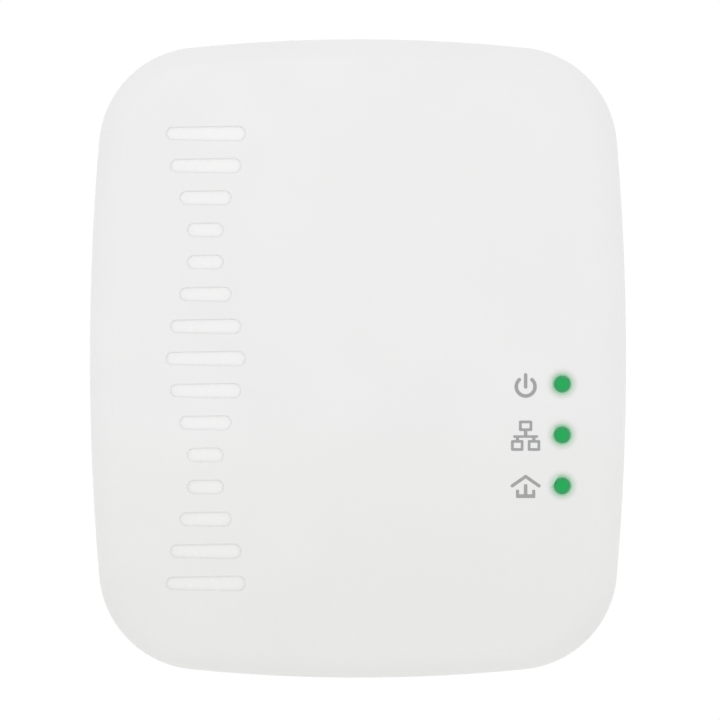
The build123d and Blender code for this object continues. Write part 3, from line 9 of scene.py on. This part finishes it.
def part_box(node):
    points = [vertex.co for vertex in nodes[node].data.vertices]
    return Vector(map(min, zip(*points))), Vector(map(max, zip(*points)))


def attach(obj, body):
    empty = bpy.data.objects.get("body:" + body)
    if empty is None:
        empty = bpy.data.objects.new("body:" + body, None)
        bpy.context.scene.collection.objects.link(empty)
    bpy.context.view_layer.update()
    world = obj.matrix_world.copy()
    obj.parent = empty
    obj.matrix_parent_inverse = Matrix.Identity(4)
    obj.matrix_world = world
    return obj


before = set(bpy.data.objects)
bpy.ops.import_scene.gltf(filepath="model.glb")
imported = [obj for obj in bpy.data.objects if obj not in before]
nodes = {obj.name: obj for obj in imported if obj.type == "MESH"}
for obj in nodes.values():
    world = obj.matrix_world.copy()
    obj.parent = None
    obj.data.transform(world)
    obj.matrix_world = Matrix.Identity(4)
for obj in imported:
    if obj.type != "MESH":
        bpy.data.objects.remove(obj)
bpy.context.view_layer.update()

MM = 0.001

# ---- places taken from the CAD, in metres ---------------------------------------------------------
BODY_CENTRE_Z = -0.006
PARTING_Y = -0.0388
FRONT_Y = -0.046
DOME_RADIUS = 0.4069
DOME_CENTRE = Vector((0.0, FRONT_Y + DOME_RADIUS, BODY_CENTRE_Z))
LIGHT_NODES = ("light_pipe_power", "light_pipe_network", "light_pipe_powerline")


def middle(node):
    low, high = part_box(node)
    return (low + high) / 2


LIGHTS = [middle(n) for n in LIGHT_NODES]


def srgb(r, g, b):
    """Linear colour of an 8-bit display colour."""
    def linear(c):
        c /= 255
        return c / 12.92 if c <= 0.04045 else ((c + 0.055) / 1.055) ** 2.4
    return (linear(r), linear(g), linear(b), 1.0)


def lit_white(r, g, b):
    """Base colour of a surface that shows as the given display colour in this scene's light."""
    gloss, light = 0.03, 1.01
    return tuple((c - gloss) / light for c in srgb(r, g, b)[:3]) + (1.0,)


# ---- material graphs ------------------------------------------------------------------------------
class Graph:
    """One node material: short calls for the nodes it is made of."""

    def __init__(self, name, **surface):
        self.material = bpy.data.materials.new(name)
        self.material.use_nodes = True
        self.tree = self.material.node_tree
        self.shader = self.tree.nodes["Principled BSDF"]
        for key, value in surface.items():
            self.shader.inputs[key.replace("_", " ")].default_value = value
        self.place = self.node("ShaderNodeTexCoord").outputs["Object"]

    def node(self, kind, inputs=(), **settings):
        made = self.tree.nodes.new(kind)
        for key, value in settings.items():
            setattr(made, key, value)
        for key, value in dict(inputs).items():
            if isinstance(value, bpy.types.NodeSocket):
                self.tree.links.new(value, made.inputs[key])
            else:
                made.inputs[key].default_value = value
        return made

    def to(self, source, name):
        self.tree.links.new(source, self.shader.inputs[name])

    def noise(self, scale, detail=3.0, rough=0.5, stretch=(1, 1, 1)):
        place = self.node("ShaderNodeMapping", {"Vector": self.place, "Scale": stretch}).outputs[0]
        inputs = {"Vector": place, "Scale": scale, "Detail": detail, "Roughness": rough}
        return self.node("ShaderNodeTexNoise", inputs).outputs["Fac"]

    def math(self, operation, a, b=0.0, clamp=False):
        made = self.node("ShaderNodeMath", {0: a, 1: b}, operation=operation)
        made.use_clamp = clamp
        return made.outputs[0]

    def spread(self, value, low, high, to_low, to_high):
        inputs = {"Value": value, "From Min": low, "From Max": high, "To Min": to_low, "To Max": to_high}
        return self.node("ShaderNodeMapRange", inputs).outputs[0]

    def ramp(self, value, stops):
        made = self.node("ShaderNodeValToRGB", {"Fac": value})
        band = made.color_ramp
        while len(band.elements) > 1:
            band.elements.remove(band.elements[-1])
        band.elements[0].position, band.elements[0].color = stops[0]
        for at, colour in stops[1:]:
            band.elements.new(at).color = colour
        return made.outputs["Color"]

    def mix(self, factor, a, b, blend="MIX"):
        made = self.node("ShaderNodeMix", data_type="RGBA", blend_type=blend)
        for index, value in ((0, factor), (6, a), (7, b)):
            if isinstance(value, bpy.types.NodeSocket):
                self.tree.links.new(value, made.inputs[index])
            else:
                made.inputs[index].default_value = value
        return made.outputs[2]

    def bump(self, height, strength, distance):
        made = self.node("ShaderNodeBump", {"Height": height, "Strength": strength, "Distance": distance})
        self.to(made.outputs[0], "Normal")

    def axis(self, name):
        return self.node("ShaderNodeSeparateXYZ", {0: self.place}).outputs[name]


def tint(colour, factor):
    return tuple(c * factor for c in colour[:3]) + (1.0,)


def moulded(name, colour, rough=0.45, grain=5200.0, depth=0.000012, strength=0.25, shade=0.015, **surface):
    """Moulded plastic: a fine spark-eroded grain, slow colour drift and uneven gloss."""
    g = Graph(name, **surface)
    drift = g.noise(90.0, 2.0)
    fleck = g.noise(grain * 0.6, 2.0)
    darker, lighter = tint(colour, 1 - shade), tint(colour, 1 + shade * 0.5)
    colour_drift = g.mix(g.spread(drift, 0.3, 0.7, 0.0, 1.0), darker, lighter)
    g.to(g.mix(g.spread(fleck, 0.35, 0.65, 0.0, 0.35), colour_drift, darker), "Base Color")
    g.to(g.spread(g.noise(500.0, 4.0), 0.3, 0.7, rough - 0.05, rough + 0.07), "Roughness")
    g.bump(g.noise(grain, 3.0, 0.6), strength, depth)
    return g


def metal(name, colour, rough=0.28, scratch=(1, 1, 1), scale=900.0, wear=0.12, **surface):
    """Plated or rolled metal: fine directional scratches, dull patches and a slightly uneven face."""
    g = Graph(name, Metallic=1.0, **surface)
    lines = g.noise(scale, 5.0, 0.65, scratch)
    patch = g.noise(scale * 0.12, 3.0)
    g.to(g.mix(g.spread(patch, 0.35, 0.65, 0.0, 1.0), tint(colour, 1 - wear), colour), "Base Color")
    scored = g.spread(lines, 0.3, 0.7, rough - 0.08, rough + 0.12)
    g.to(g.math("ADD", scored, g.spread(patch, 0.4, 0.7, 0.0, 0.05)), "Roughness")
    g.bump(lines, 0.2, 0.000008)
    return g


# The housing's white, and the darker, warmer painted shade it turns to towards the lower edge.
WHITE_UNSHADED = (0.803, 0.803, 0.801, 1)
WHITE_PAINTED_SHADE = (0.773, 0.773, 0.756, 1)


def white_plastic(name, factor=1.0, rough=0.4, **settings):
    """The housing's plastic, with a painted shading: darker and warmer towards the lower edge."""
    g = moulded(name, (1, 1, 1, 1), rough=rough, **settings)
    grain = g.shader.inputs["Base Color"].links[0].from_socket
    # Painted shade: from 6 mm below the middle the white blends into the painted shade, fully 26 mm below it,
    # near the lower edge.
    drift = g.spread(g.axis("Z"), BODY_CENTRE_Z - 0.006, BODY_CENTRE_Z - 0.026, 0.0, 1.0)
    white = g.mix(drift, tint(WHITE_UNSHADED, factor), tint(WHITE_PAINTED_SHADE, factor))
    g.to(g.mix(1.0, white, grain, "MULTIPLY"), "Base Color")
    return g


def glowing_cover():
    """The cover's plastic. The glow round each light is painted: it isn't light from the lens."""
    g = white_plastic("cover_plastic")
    plain = g.shader.inputs["Base Color"].links[0].from_socket
    nearest = None
    flat = g.node("ShaderNodeMapping", {"Vector": g.place, "Scale": (1000, 0, 1000)}).outputs[0]
    for light in LIGHTS:
        centre = (light.x / MM, 0, light.z / MM)
        value = g.node("ShaderNodeVectorMath", {0: flat, 1: centre}, operation="DISTANCE").outputs["Value"]
        nearest = value if nearest is None else g.math("MINIMUM", nearest, value)
    near = g.spread(nearest, 0.7, 1.9, 0.0, 1.0)
    stops = [
        (0.10, (172, 225, 191)),
        (0.26, (188, 221, 198)),
        (0.44, (211, 220, 211)),
        (0.64, (228, 229, 227)),
        (0.85, (234, 234, 234)),
    ]
    glow = g.ramp(near, [(at, lit_white(*c)) for at, c in stops])
    g.to(g.mix(g.spread(nearest, 1.4, 2.0, 0.0, 1.0), glow, plain), "Base Color")
    return g


def lens(name, light):
    """A lit light pipe: a saturated core that pales to its rim."""
    g = Graph(name, Roughness=0.3, Specular_IOR_Level=0.2, Emission_Strength=0.54)
    flat = g.node("ShaderNodeMapping", {"Vector": g.place, "Scale": (1000, 0, 1000)}).outputs[0]
    away = g.node("ShaderNodeVectorMath", {0: flat, 1: (light.x / MM, 0, light.z / MM)}, operation="DISTANCE")
    ripple = g.noise(2600.0, 2.0)
    near = g.math("ADD", away.outputs["Value"], g.spread(ripple, 0.3, 0.7, -0.03, 0.03))
    stops = [
        (0.0, srgb(22, 164, 82)),
        (0.50, srgb(26, 163, 83)),
        (0.68, srgb(52, 148, 90)),
        (0.80, srgb(92, 166, 120)),
    ]
    g.to(g.ramp(near, [(at, tint(c, 0.5)) for at, c in stops]), "Base Color")
    g.to(g.ramp(near, stops), "Emission Color")
    g.bump(ripple, 0.1, 0.00001)
    return g


def board(name, mask, trace, scale):
    """Circuit board: solder mask over a net of copper tracks, with dull plated pads."""
    g = Graph(name, Roughness=0.32)
    cells = g.node("ShaderNodeTexVoronoi", {"Vector": g.place, "Scale": scale}, feature="DISTANCE_TO_EDGE")
    tracks = g.spread(cells.outputs["Distance"], 0.04, 0.07, 1.0, 0.0)
    pads = g.node("ShaderNodeTexVoronoi", {"Vector": g.place, "Scale": scale * 1.6}, distance="CHEBYCHEV")
    plated = g.spread(pads.outputs["Distance"], 0.10, 0.13, 1.0, 0.0)
    tracked = g.mix(tracks, mask, trace)
    g.to(g.mix(plated, tracked, (0.62, 0.62, 0.58, 1)), "Base Color")
    g.to(plated, "Metallic")
    g.bump(g.math("ADD", tracks, plated), 0.4, 0.00004)
    return g


def chip(name, colour=(0.028, 0.028, 0.031, 1)):
    """Moulded epoxy package: matte, faintly sparkling with filler."""
    g = Graph(name, Specular_IOR_Level=0.4)
    specks = g.noise(6500.0, 2.0, 0.7)
    g.to(g.mix(g.spread(specks, 0.55, 0.75, 0.0, 1.0), colour, tint(colour, 2.4)), "Base Color")
    g.to(g.spread(g.noise(900.0), 0.3, 0.7, 0.42, 0.62), "Roughness")
    g.bump(specks, 0.3, 0.00001)
    return g


def ferrite(name):
    """Sintered ferrite: dark, granular, with small pits."""
    g = Graph(name, Roughness=0.6)
    grains = g.node("ShaderNodeTexVoronoi", {"Vector": g.place, "Scale": 3500.0})
    stops = [(0.0, (0.03, 0.03, 0.033, 1)), (0.8, (0.085, 0.083, 0.085, 1))]
    g.to(g.ramp(grains.outputs["Distance"], stops), "Base Color")
    g.bump(grains.outputs["Distance"], 0.5, 0.00003)
    return g


def wound(name, colour, pitch, along, metallic=1.0):
    """Wire or tape laid in turns: a band for every turn, with painted shade in the groove between turns and a
    painted highlight on each crown.
    """
    turn = {"X": (1, 0, 0), "Y": (0, 1, 0), "Z": (0, 0, 1)}[along]
    g = Graph(name, Metallic=metallic, Roughness=0.3, Coat_Weight=0.4, Coat_Roughness=0.12)
    place = g.node("ShaderNodeMapping", {"Vector": g.place, "Scale": turn}).outputs[0]
    at = g.node("ShaderNodeVectorMath", {0: place, 1: (1.0, 1.0, 1.0)}, operation="DOT_PRODUCT")
    wave = g.math("PINGPONG", at.outputs["Value"], pitch / 2)
    band = g.spread(wave, 0.0, pitch / 2, 0.0, 1.0)
    # Painted shade and highlight: each turn darkens to about a third of its colour at the groove and lightens
    # past it at the crown.
    stops = [(0.0, tint(colour, 0.35)), (0.35, colour), (1.0, tint(colour, 1.15))]
    g.to(g.ramp(band, stops), "Base Color")
    g.bump(band, 0.7, pitch * 0.3)
    return g


def printed_ink(name, colour):
    """Pad-printed ink: even, slightly mottled where it sits on the grain."""
    g = Graph(name, Specular_IOR_Level=0.3)
    mottle = g.noise(5200.0, 3.0)
    g.to(g.mix(g.spread(mottle, 0.35, 0.7, 0.0, 1.0), tint(colour, 0.97), tint(colour, 1.06)), "Base Color")
    g.to(g.spread(mottle, 0.3, 0.7, 0.5, 0.62), "Roughness")
    g.bump(mottle, 0.15, 0.00001)
    return g


OUTER_RULE = (0.0146, 0.0071, 0.00025)  # half width, half height and line of the label's frame
INNER_RULE = (0.0112, 0.0042, 0.0002)


def label(name):
    """Blank rating label: pale foil with a plain ruled frame and an empty panel."""
    g = Graph(name, Roughness=0.36)
    low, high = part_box("rating_label")
    centre = (low + high) / 2
    across = g.math("ABSOLUTE", g.math("SUBTRACT", g.axis("X"), centre.x))
    up = g.math("ABSOLUTE", g.math("SUBTRACT", g.axis("Z"), centre.z))

    def frame_line(half_width, half_height, line):
        past_side = g.math("SUBTRACT", across, half_width)
        past_end = g.math("SUBTRACT", up, half_height)
        outside = g.math("MAXIMUM", past_side, past_end)
        return g.math("LESS_THAN", g.math("ABSOLUTE", outside), line / 2)

    rules = g.math("MAXIMUM", frame_line(*OUTER_RULE), frame_line(*INNER_RULE))
    fibres = g.noise(1500.0, 4.0, 0.6)
    paper = g.mix(g.spread(fibres, 0.3, 0.7, 0.0, 1.0), (0.70, 0.705, 0.70, 1), (0.76, 0.765, 0.76, 1))
    g.to(g.mix(rules, paper, (0.30, 0.31, 0.32, 1)), "Base Color")
    g.bump(fibres, 0.1, 0.00001)
    return g


STRIPE_HALF = 0.0009
BARE_TOP = 0.0057  # from a can's middle to where its sleeve ends


def sleeved_can(name, centres):
    """Shrink-sleeved capacitor: glossy black sleeve with a plain pale stripe and a bare scored top."""
    g = Graph(name, Roughness=0.24, Coat_Weight=0.3, Coat_Roughness=0.08)
    stripe = None
    for centre in centres:
        aside = g.math("ABSOLUTE", g.math("SUBTRACT", g.axis("X"), centre.x))
        near_x = g.math("LESS_THAN", aside, STRIPE_HALF)
        below = g.math("LESS_THAN", g.axis("Z"), centre.z)
        mark = g.math("MULTIPLY", near_x, below)
        stripe = mark if stripe is None else g.math("MAXIMUM", stripe, mark)
    top = g.math("LESS_THAN", g.axis("Y"), centres[0].y - BARE_TOP)
    sleeve = g.mix(stripe, (0.018, 0.018, 0.024, 1), (0.45, 0.46, 0.46, 1))
    g.to(g.mix(top, sleeve, (0.60, 0.61, 0.62, 1)), "Base Color")
    g.to(top, "Metallic")
    g.bump(g.noise(700.0), 0.15, 0.00002)
    return g


# ---- finish of every CAD node ---------------------------------------------------------------------
SHELL = white_plastic("shell_plastic")
COVER = glowing_cover()
# Painted sheen: the relief floors' white is lightened past the face's, standing in for their gloss and
# lifting them out of the shade of their walls.
FLOOR = white_plastic("relief_floor", factor=1.062, rough=0.25, strength=0.08, shade=0.004)
PLUG = moulded("plug_plastic", (0.765, 0.768, 0.758, 1), rough=0.34, strength=0.12)
BUTTON = moulded("button_plastic", (0.72, 0.725, 0.715, 1), rough=0.3, strength=0.1)
SLEEVE = moulded("sleeve_plastic", (0.022, 0.022, 0.024, 1), rough=0.4)
BLACK = moulded("black_plastic", (0.016, 0.016, 0.018, 1), rough=0.45)
STEM = moulded("stem_plastic", (0.06, 0.06, 0.06, 1), rough=0.4)
FUSE = moulded("fuse_plastic", (0.03, 0.03, 0.03, 1), rough=0.35)
VARISTOR = moulded("varistor_coat", (0.03, 0.08, 0.30, 1), rough=0.3, grain=900.0, depth=0.00004)
DISC = moulded("disc_coat", (0.05, 0.18, 0.42, 1), rough=0.35, grain=900.0, depth=0.00004)
FILM = moulded("film_yellow", (0.72, 0.45, 0.04, 1), rough=0.38)
TAPE = wound("winding_tape", (0.75, 0.52, 0.06, 1), 0.0021, "Y", metallic=0.0)
COPPER = wound("copper_wire", (0.62, 0.22, 0.08, 1), 0.00035, "Y")
PAD = moulded("thermal_pad", (0.25, 0.32, 0.38, 1), rough=0.7)
PAPER = moulded("insulating_paper", (0.62, 0.60, 0.50, 1), rough=0.75, grain=1600.0)
PIN = metal("pin_nickel", (0.66, 0.64, 0.60, 1), rough=0.2, scratch=(1, 0.1, 1), scale=2200.0)
SCREW = metal("screw_steel", (0.50, 0.50, 0.52, 1), rough=0.33)
TIN = metal("tinned_sheet", (0.60, 0.60, 0.59, 1), rough=0.26, scratch=(1, 1, 0.12), scale=1600.0)
GOLD = metal("contact_gold", (0.80, 0.55, 0.18, 1), rough=0.34, wear=0.06)
SOLDER = metal("solder", (0.62, 0.63, 0.65, 1), rough=0.18, scale=400.0)
ALUMINIUM = metal("aluminium_plate", (0.60, 0.60, 0.62, 1), rough=0.35, scratch=(0.15, 1, 1), scale=1800.0)
GREEN = board("main_board_mask", (0.015, 0.13, 0.05, 1), (0.03, 0.22, 0.09, 1), 420.0)
TAN = board("power_board_mask", (0.42, 0.30, 0.14, 1), (0.32, 0.20, 0.07, 1), 260.0)
CHIP = chip("chip_epoxy")
CERAMIC = chip("ceramic_body", (0.36, 0.24, 0.13, 1))
LED = moulded("led_resin", (0.62, 0.75, 0.50, 1), rough=0.2)
FERRITE = ferrite("ferrite")
INK = printed_ink("icon_ink", srgb(157, 159, 158))

BULK_CENTRES = [Vector((x, -0.0288, -0.0112)) for x in (0.0046, 0.0132)]

FINISH = {
    "rear_housing": SHELL,
    "plug_insert": PLUG,
    "pair_button": BUTTON,
    "line_pin": PIN,
    "neutral_pin": PIN,
    "pin_sleeves": SLEEVE,
    "housing_screws": SCREW,
    "light_shield": BLACK,
    "led_power": LED,
    "led_network": LED,
    "led_powerline": LED,
    "main_board": GREEN,
    "power_board": TAN,
    "mains_solder_joints": SOLDER,
    "powerline_soc": CHIP,
    "memory_chip": CHIP,
    "flash_chip": CHIP,
    "line_driver": CHIP,
    "bridge_rectifier": CHIP,
    "output_diode": CHIP,
    "switching_controller": CHIP,
    "ethernet_magnetics": CHIP,
    "line_coupling_transformer": CHIP,
    "buck_inductor": FERRITE,
    "thermal_pad": PAD,
    "heat_spreader": ALUMINIUM,
    "clock_crystal": TIN,
    "decoupling_capacitors": CERAMIC,
    "led_resistors": CHIP,
    "ethernet_jack_shield": TIN,
    "ethernet_jack_insert": BLACK,
    "ethernet_jack_contacts": GOLD,
    "pair_switch_body": BLACK,
    "reset_switch_body": BLACK,
    "switch_frames": TIN,
    "pair_switch_plunger": STEM,
    "reset_switch_plunger": STEM,
    "input_fuse": FUSE,
    "surge_varistor": VARISTOR,
    "safety_capacitor": DISC,
    "film_capacitor": FILM,
    "choke_core": FERRITE,
    "choke_windings": COPPER,
    "transformer_core": FERRITE,
    "transformer_bobbin": BLACK,
    "transformer_winding": TAPE,
    "filter_inductor_core": FERRITE,
    "filter_inductor_winding": COPPER,
    "board_link_header": BLACK,
    "board_link_pins": GOLD,
    "insulating_sheet": PAPER,
    "rating_label": label("rating_foil"),
    "bulk_capacitors": sleeved_can("bulk_can", BULK_CENTRES),
    "output_capacitor": sleeved_can("output_can", [middle("output_capacitor")]),
}
for index, name in enumerate(LIGHT_NODES):
    FINISH[name] = lens(f"lens_{name.rsplit('_', 1)[1]}", LIGHTS[index])

for name, graph in FINISH.items():
    nodes[name].data.materials.clear()
    nodes[name].data.materials.append(graph.material)

# The front cover shows two finishes: the grained face and the smoother floors of the relief, whose white is
# lightened with a painted sheen.
cover = nodes["front_cover"].data
cover.materials.clear()
for graph in (COVER, FLOOR):
    cover.materials.append(graph.material)
RELIEF_CENTRE_X = -0.0155
RELIEF_HALF = (0.0046, 0.0246)
FLOOR_DEPTHS = (0.00004, 0.0003)  # a floor lies between these depths under the dome
FACES_OUT = 0.97  # and faces out of it this squarely; the walls of a bar don't
for face in cover.polygons:
    out = face.center - DOME_CENTRE
    below = DOME_RADIUS - out.length
    across = abs(face.center.x - RELIEF_CENTRE_X) < RELIEF_HALF[0]
    along = abs(face.center.z - BODY_CENTRE_Z) < RELIEF_HALF[1]
    if across and along and FLOOR_DEPTHS[0] < below < FLOOR_DEPTHS[1]:
        face.material_index = int(face.normal.dot(out.normalized()) > FACES_OUT)


# ---- printed symbols: distances and sizes in mm about each symbol's centre -------------------------
def segment(p, a, b, width):
    """Distance from p to a round-ended stroke from a to b."""
    ab = (b[0] - a[0], b[1] - a[1])
    ap = (p[0] - a[0], p[1] - a[1])
    t = max(0.0, min(1.0, (ap[0] * ab[0] + ap[1] * ab[1]) / (ab[0] ** 2 + ab[1] ** 2)))
    return math.hypot(ap[0] - t * ab[0], ap[1] - t * ab[1]) - width / 2


def bar(p, centre, half_x, half_y, corner=0.05):
    """Distance from p to a filled bar with slightly rounded corners."""
    dx = abs(p[0] - centre[0]) - half_x + corner
    dy = abs(p[1] - centre[1]) - half_y + corner
    return math.hypot(max(dx, 0), max(dy, 0)) + min(max(dx, dy), 0) - corner


def hollow_bar(p, centre, half_x, half_y, line):
    return max(bar(p, centre, half_x, half_y, 0.12), -bar(p, centre, half_x - line, half_y - line))


def power_symbol(p):
    x, y = p[0], p[1] + 0.26
    radius, line, gap = 0.95, 0.36, math.radians(42)
    if abs(math.atan2(x, y)) > gap:
        ring = abs(math.hypot(x, y) - radius) - line / 2
    else:
        ring = math.hypot(abs(x) - radius * math.sin(gap), y - radius * math.cos(gap)) - line / 2
    return min(ring, segment(p, (0, -0.29), (0, 0.93), 0.35))


def network_symbol(p):
    return min(
        hollow_bar(p, (0, 0.925), 0.67, 0.53, 0.27),
        bar(p, (0, 0.12), 0.175, 0.3),
        bar(p, (0, -0.16), 1.25, 0.125),
        bar(p, (-0.83, -0.34), 0.165, 0.3),
        bar(p, (0.83, -0.34), 0.165, 0.3),
        hollow_bar(p, (-0.85, -1.06), 0.63, 0.545, 0.27),
        hollow_bar(p, (0.85, -1.06), 0.63, 0.545, 0.27),
    )


def home_symbol(p):
    return min(
        segment(p, (-1.36, 0), (0, 0.95), 0.32),
        segment(p, (0, 0.95), (1.36, 0), 0.32),
        bar(p, (0, -1.04), 0.975, 0.185),
        bar(p, (-0.82, -0.8), 0.155, 0.4),
        bar(p, (0.82, -0.8), 0.155, 0.4),
        bar(p, (0, -0.52), 0.175, 0.68),
    )


FACE = BVHTree.FromPolygons(
    [v.co[:] for v in cover.vertices], [tuple(f.vertices) for f in cover.polygons]
)
INK_LIFT = 0.014 * MM
INK_SUNK = -0.010 * MM
CELL = 0.05


def on_face(x, z, lift):
    """Point of the cover's front face at (x, z), lifted off it."""
    hit, normal, _, _ = FACE.ray_cast(Vector((x, -0.08, z)), Vector((0, 1, 0)))
    return hit + normal * lift


def printed(name, distance, x, z, half=1.75):
    """A thin printed film whose outline is where distance is zero, laid on the cover's face."""
    count = int(round(2 * half / CELL))
    steps = [-half + i * CELL for i in range(count + 1)]
    grid = [[distance((px, py)) for py in steps] for px in steps]
    film = bmesh.new()
    corners = {}

    def vertex(key, px, py):
        if key not in corners:
            place = (x + px * MM, z + py * MM)
            corners[key] = (
                film.verts.new(on_face(*place, INK_LIFT)),
                film.verts.new(on_face(*place, INK_SUNK)),
            )
        return corners[key]

    def crossing(a, b):
        da, db = grid[a[0]][a[1]], grid[b[0]][b[1]]
        t = da / (da - db)
        at = [-half + (a[k] + t * (b[k] - a[k])) * CELL for k in (0, 1)]
        return vertex((min(a, b), max(a, b)), *at)

    rim = []
    for i in range(count):
        for j in range(count):
            ring = [(i, j), (i + 1, j), (i + 1, j + 1), (i, j + 1)]
            inside = [grid[a][b] < 0 for a, b in ring]
            if not any(inside):
                continue
            loop = []
            for k in range(4):
                a, b = ring[k], ring[(k + 1) % 4]
                if inside[k]:
                    loop.append((vertex(a, -half + a[0] * CELL, -half + a[1] * CELL), False))
                if inside[k] != inside[(k + 1) % 4]:
                    loop.append((crossing(a, b), inside[k]))
            film.faces.new([v[0] for v, _ in loop])
            film.faces.new([v[1] for v, _ in reversed(loop)])
            for k in range(len(loop)):
                if loop[k][1]:
                    rim.append((loop[k][0], loop[(k + 1) % len(loop)][0]))
    for a, b in rim:
        film.faces.new([b[0], a[0], a[1], b[1]])
    bmesh.ops.recalc_face_normals(film, faces=film.faces)
    mesh = bpy.data.meshes.new(name)
    film.to_mesh(mesh)
    film.free()
    for face in mesh.polygons:
        face.use_smooth = False
    mesh.materials.append(INK.material)
    piece = bpy.data.objects.new(name, mesh)
    bpy.context.scene.collection.objects.link(piece)
    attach(piece, "housing")


ICON_X = 0.01699
ICONS = (("symbol_power", power_symbol), ("symbol_network", network_symbol), ("symbol_home", home_symbol))
for (name, shape), light in zip(ICONS, LIGHTS):
    printed(name, shape, ICON_X, light.z)

# ---- floor, light and camera ----------------------------------------------------------------------
floor_mesh = bpy.data.meshes.new("studio_floor")
SIDE, FLOOR_Z = 1.6, -0.13
corners = [(x * SIDE, y * SIDE, FLOOR_Z) for x, y in ((-1, -1), (1, -1), (1, 1), (-1, 1))]
floor_mesh.from_pydata(corners, [], [(0, 1, 2, 3)])
floor = bpy.data.objects.new("studio_floor", floor_mesh)
bpy.context.scene.collection.objects.link(floor)
pale = bpy.data.materials.new("pale_floor")
pale.use_nodes = True
tree = pale.node_tree
surface = tree.nodes["Principled BSDF"]
surface.inputs["Base Color"].default_value = (0.98, 0.98, 0.98, 1)
surface.inputs["Roughness"].default_value = 0.9
below = tree.nodes.new("ShaderNodeNewGeometry")
clear = tree.nodes.new("ShaderNodeBsdfTransparent")
either = tree.nodes.new("ShaderNodeMixShader")
tree.links.new(below.outputs["Backfacing"], either.inputs[0])
tree.links.new(surface.outputs[0], either.inputs[1])
tree.links.new(clear.outputs[0], either.inputs[2])
tree.links.new(either.outputs[0], tree.nodes["Material Output"].inputs["Surface"])
floor_mesh.materials.append(pale)

world = bpy.data.worlds.new("white_studio")
bpy.context.scene.world = world
world.use_nodes = True
world.node_tree.nodes["Background"].inputs["Color"].default_value = (1, 1, 1, 1)
world.node_tree.nodes["Background"].inputs["Strength"].default_value = 1.01


def soft_light(name, place, size, power):
    """A square soft box that faces the middle of the object."""
    data = bpy.data.lights.new(name, "AREA")
    data.size = size
    data.energy = power
    lamp = bpy.data.objects.new(name, data)
    lamp.location = place
    towards = Vector((0, FRONT_Y, BODY_CENTRE_Z)) - Vector(place)
    lamp.rotation_euler = towards.to_track_quat("-Z", "Y").to_euler()
    lamp.visible_camera = False
    bpy.context.scene.collection.objects.link(lamp)


soft_light("key_box", (-0.015, -0.20, 0.07), 0.06, 0.016)

VIEW_DISTANCE = 1.5
FRAME_WIDTH = 0.0733
lens_data = bpy.data.cameras.new("camera")
lens_data.sensor_width = 36.0
lens_data.lens = 36.0 * VIEW_DISTANCE / FRAME_WIDTH
lens_data.clip_start = 0.01
lens_data.clip_end = 50.0
camera = bpy.data.objects.new("camera", lens_data)
camera.location = (0.0002036, PARTING_Y - VIEW_DISTANCE, BODY_CENTRE_Z - 0.000153)
camera.rotation_euler = (math.radians(90), 0, 0)
bpy.context.scene.collection.objects.link(camera)
bpy.context.scene.camera = camera

bpy.context.scene.view_settings.view_transform = "Standard"
bpy.context.scene.view_settings.look = "None"
bpy.context.scene.view_settings.exposure = 0.0
bpy.context.scene.view_settings.gamma = 1.0
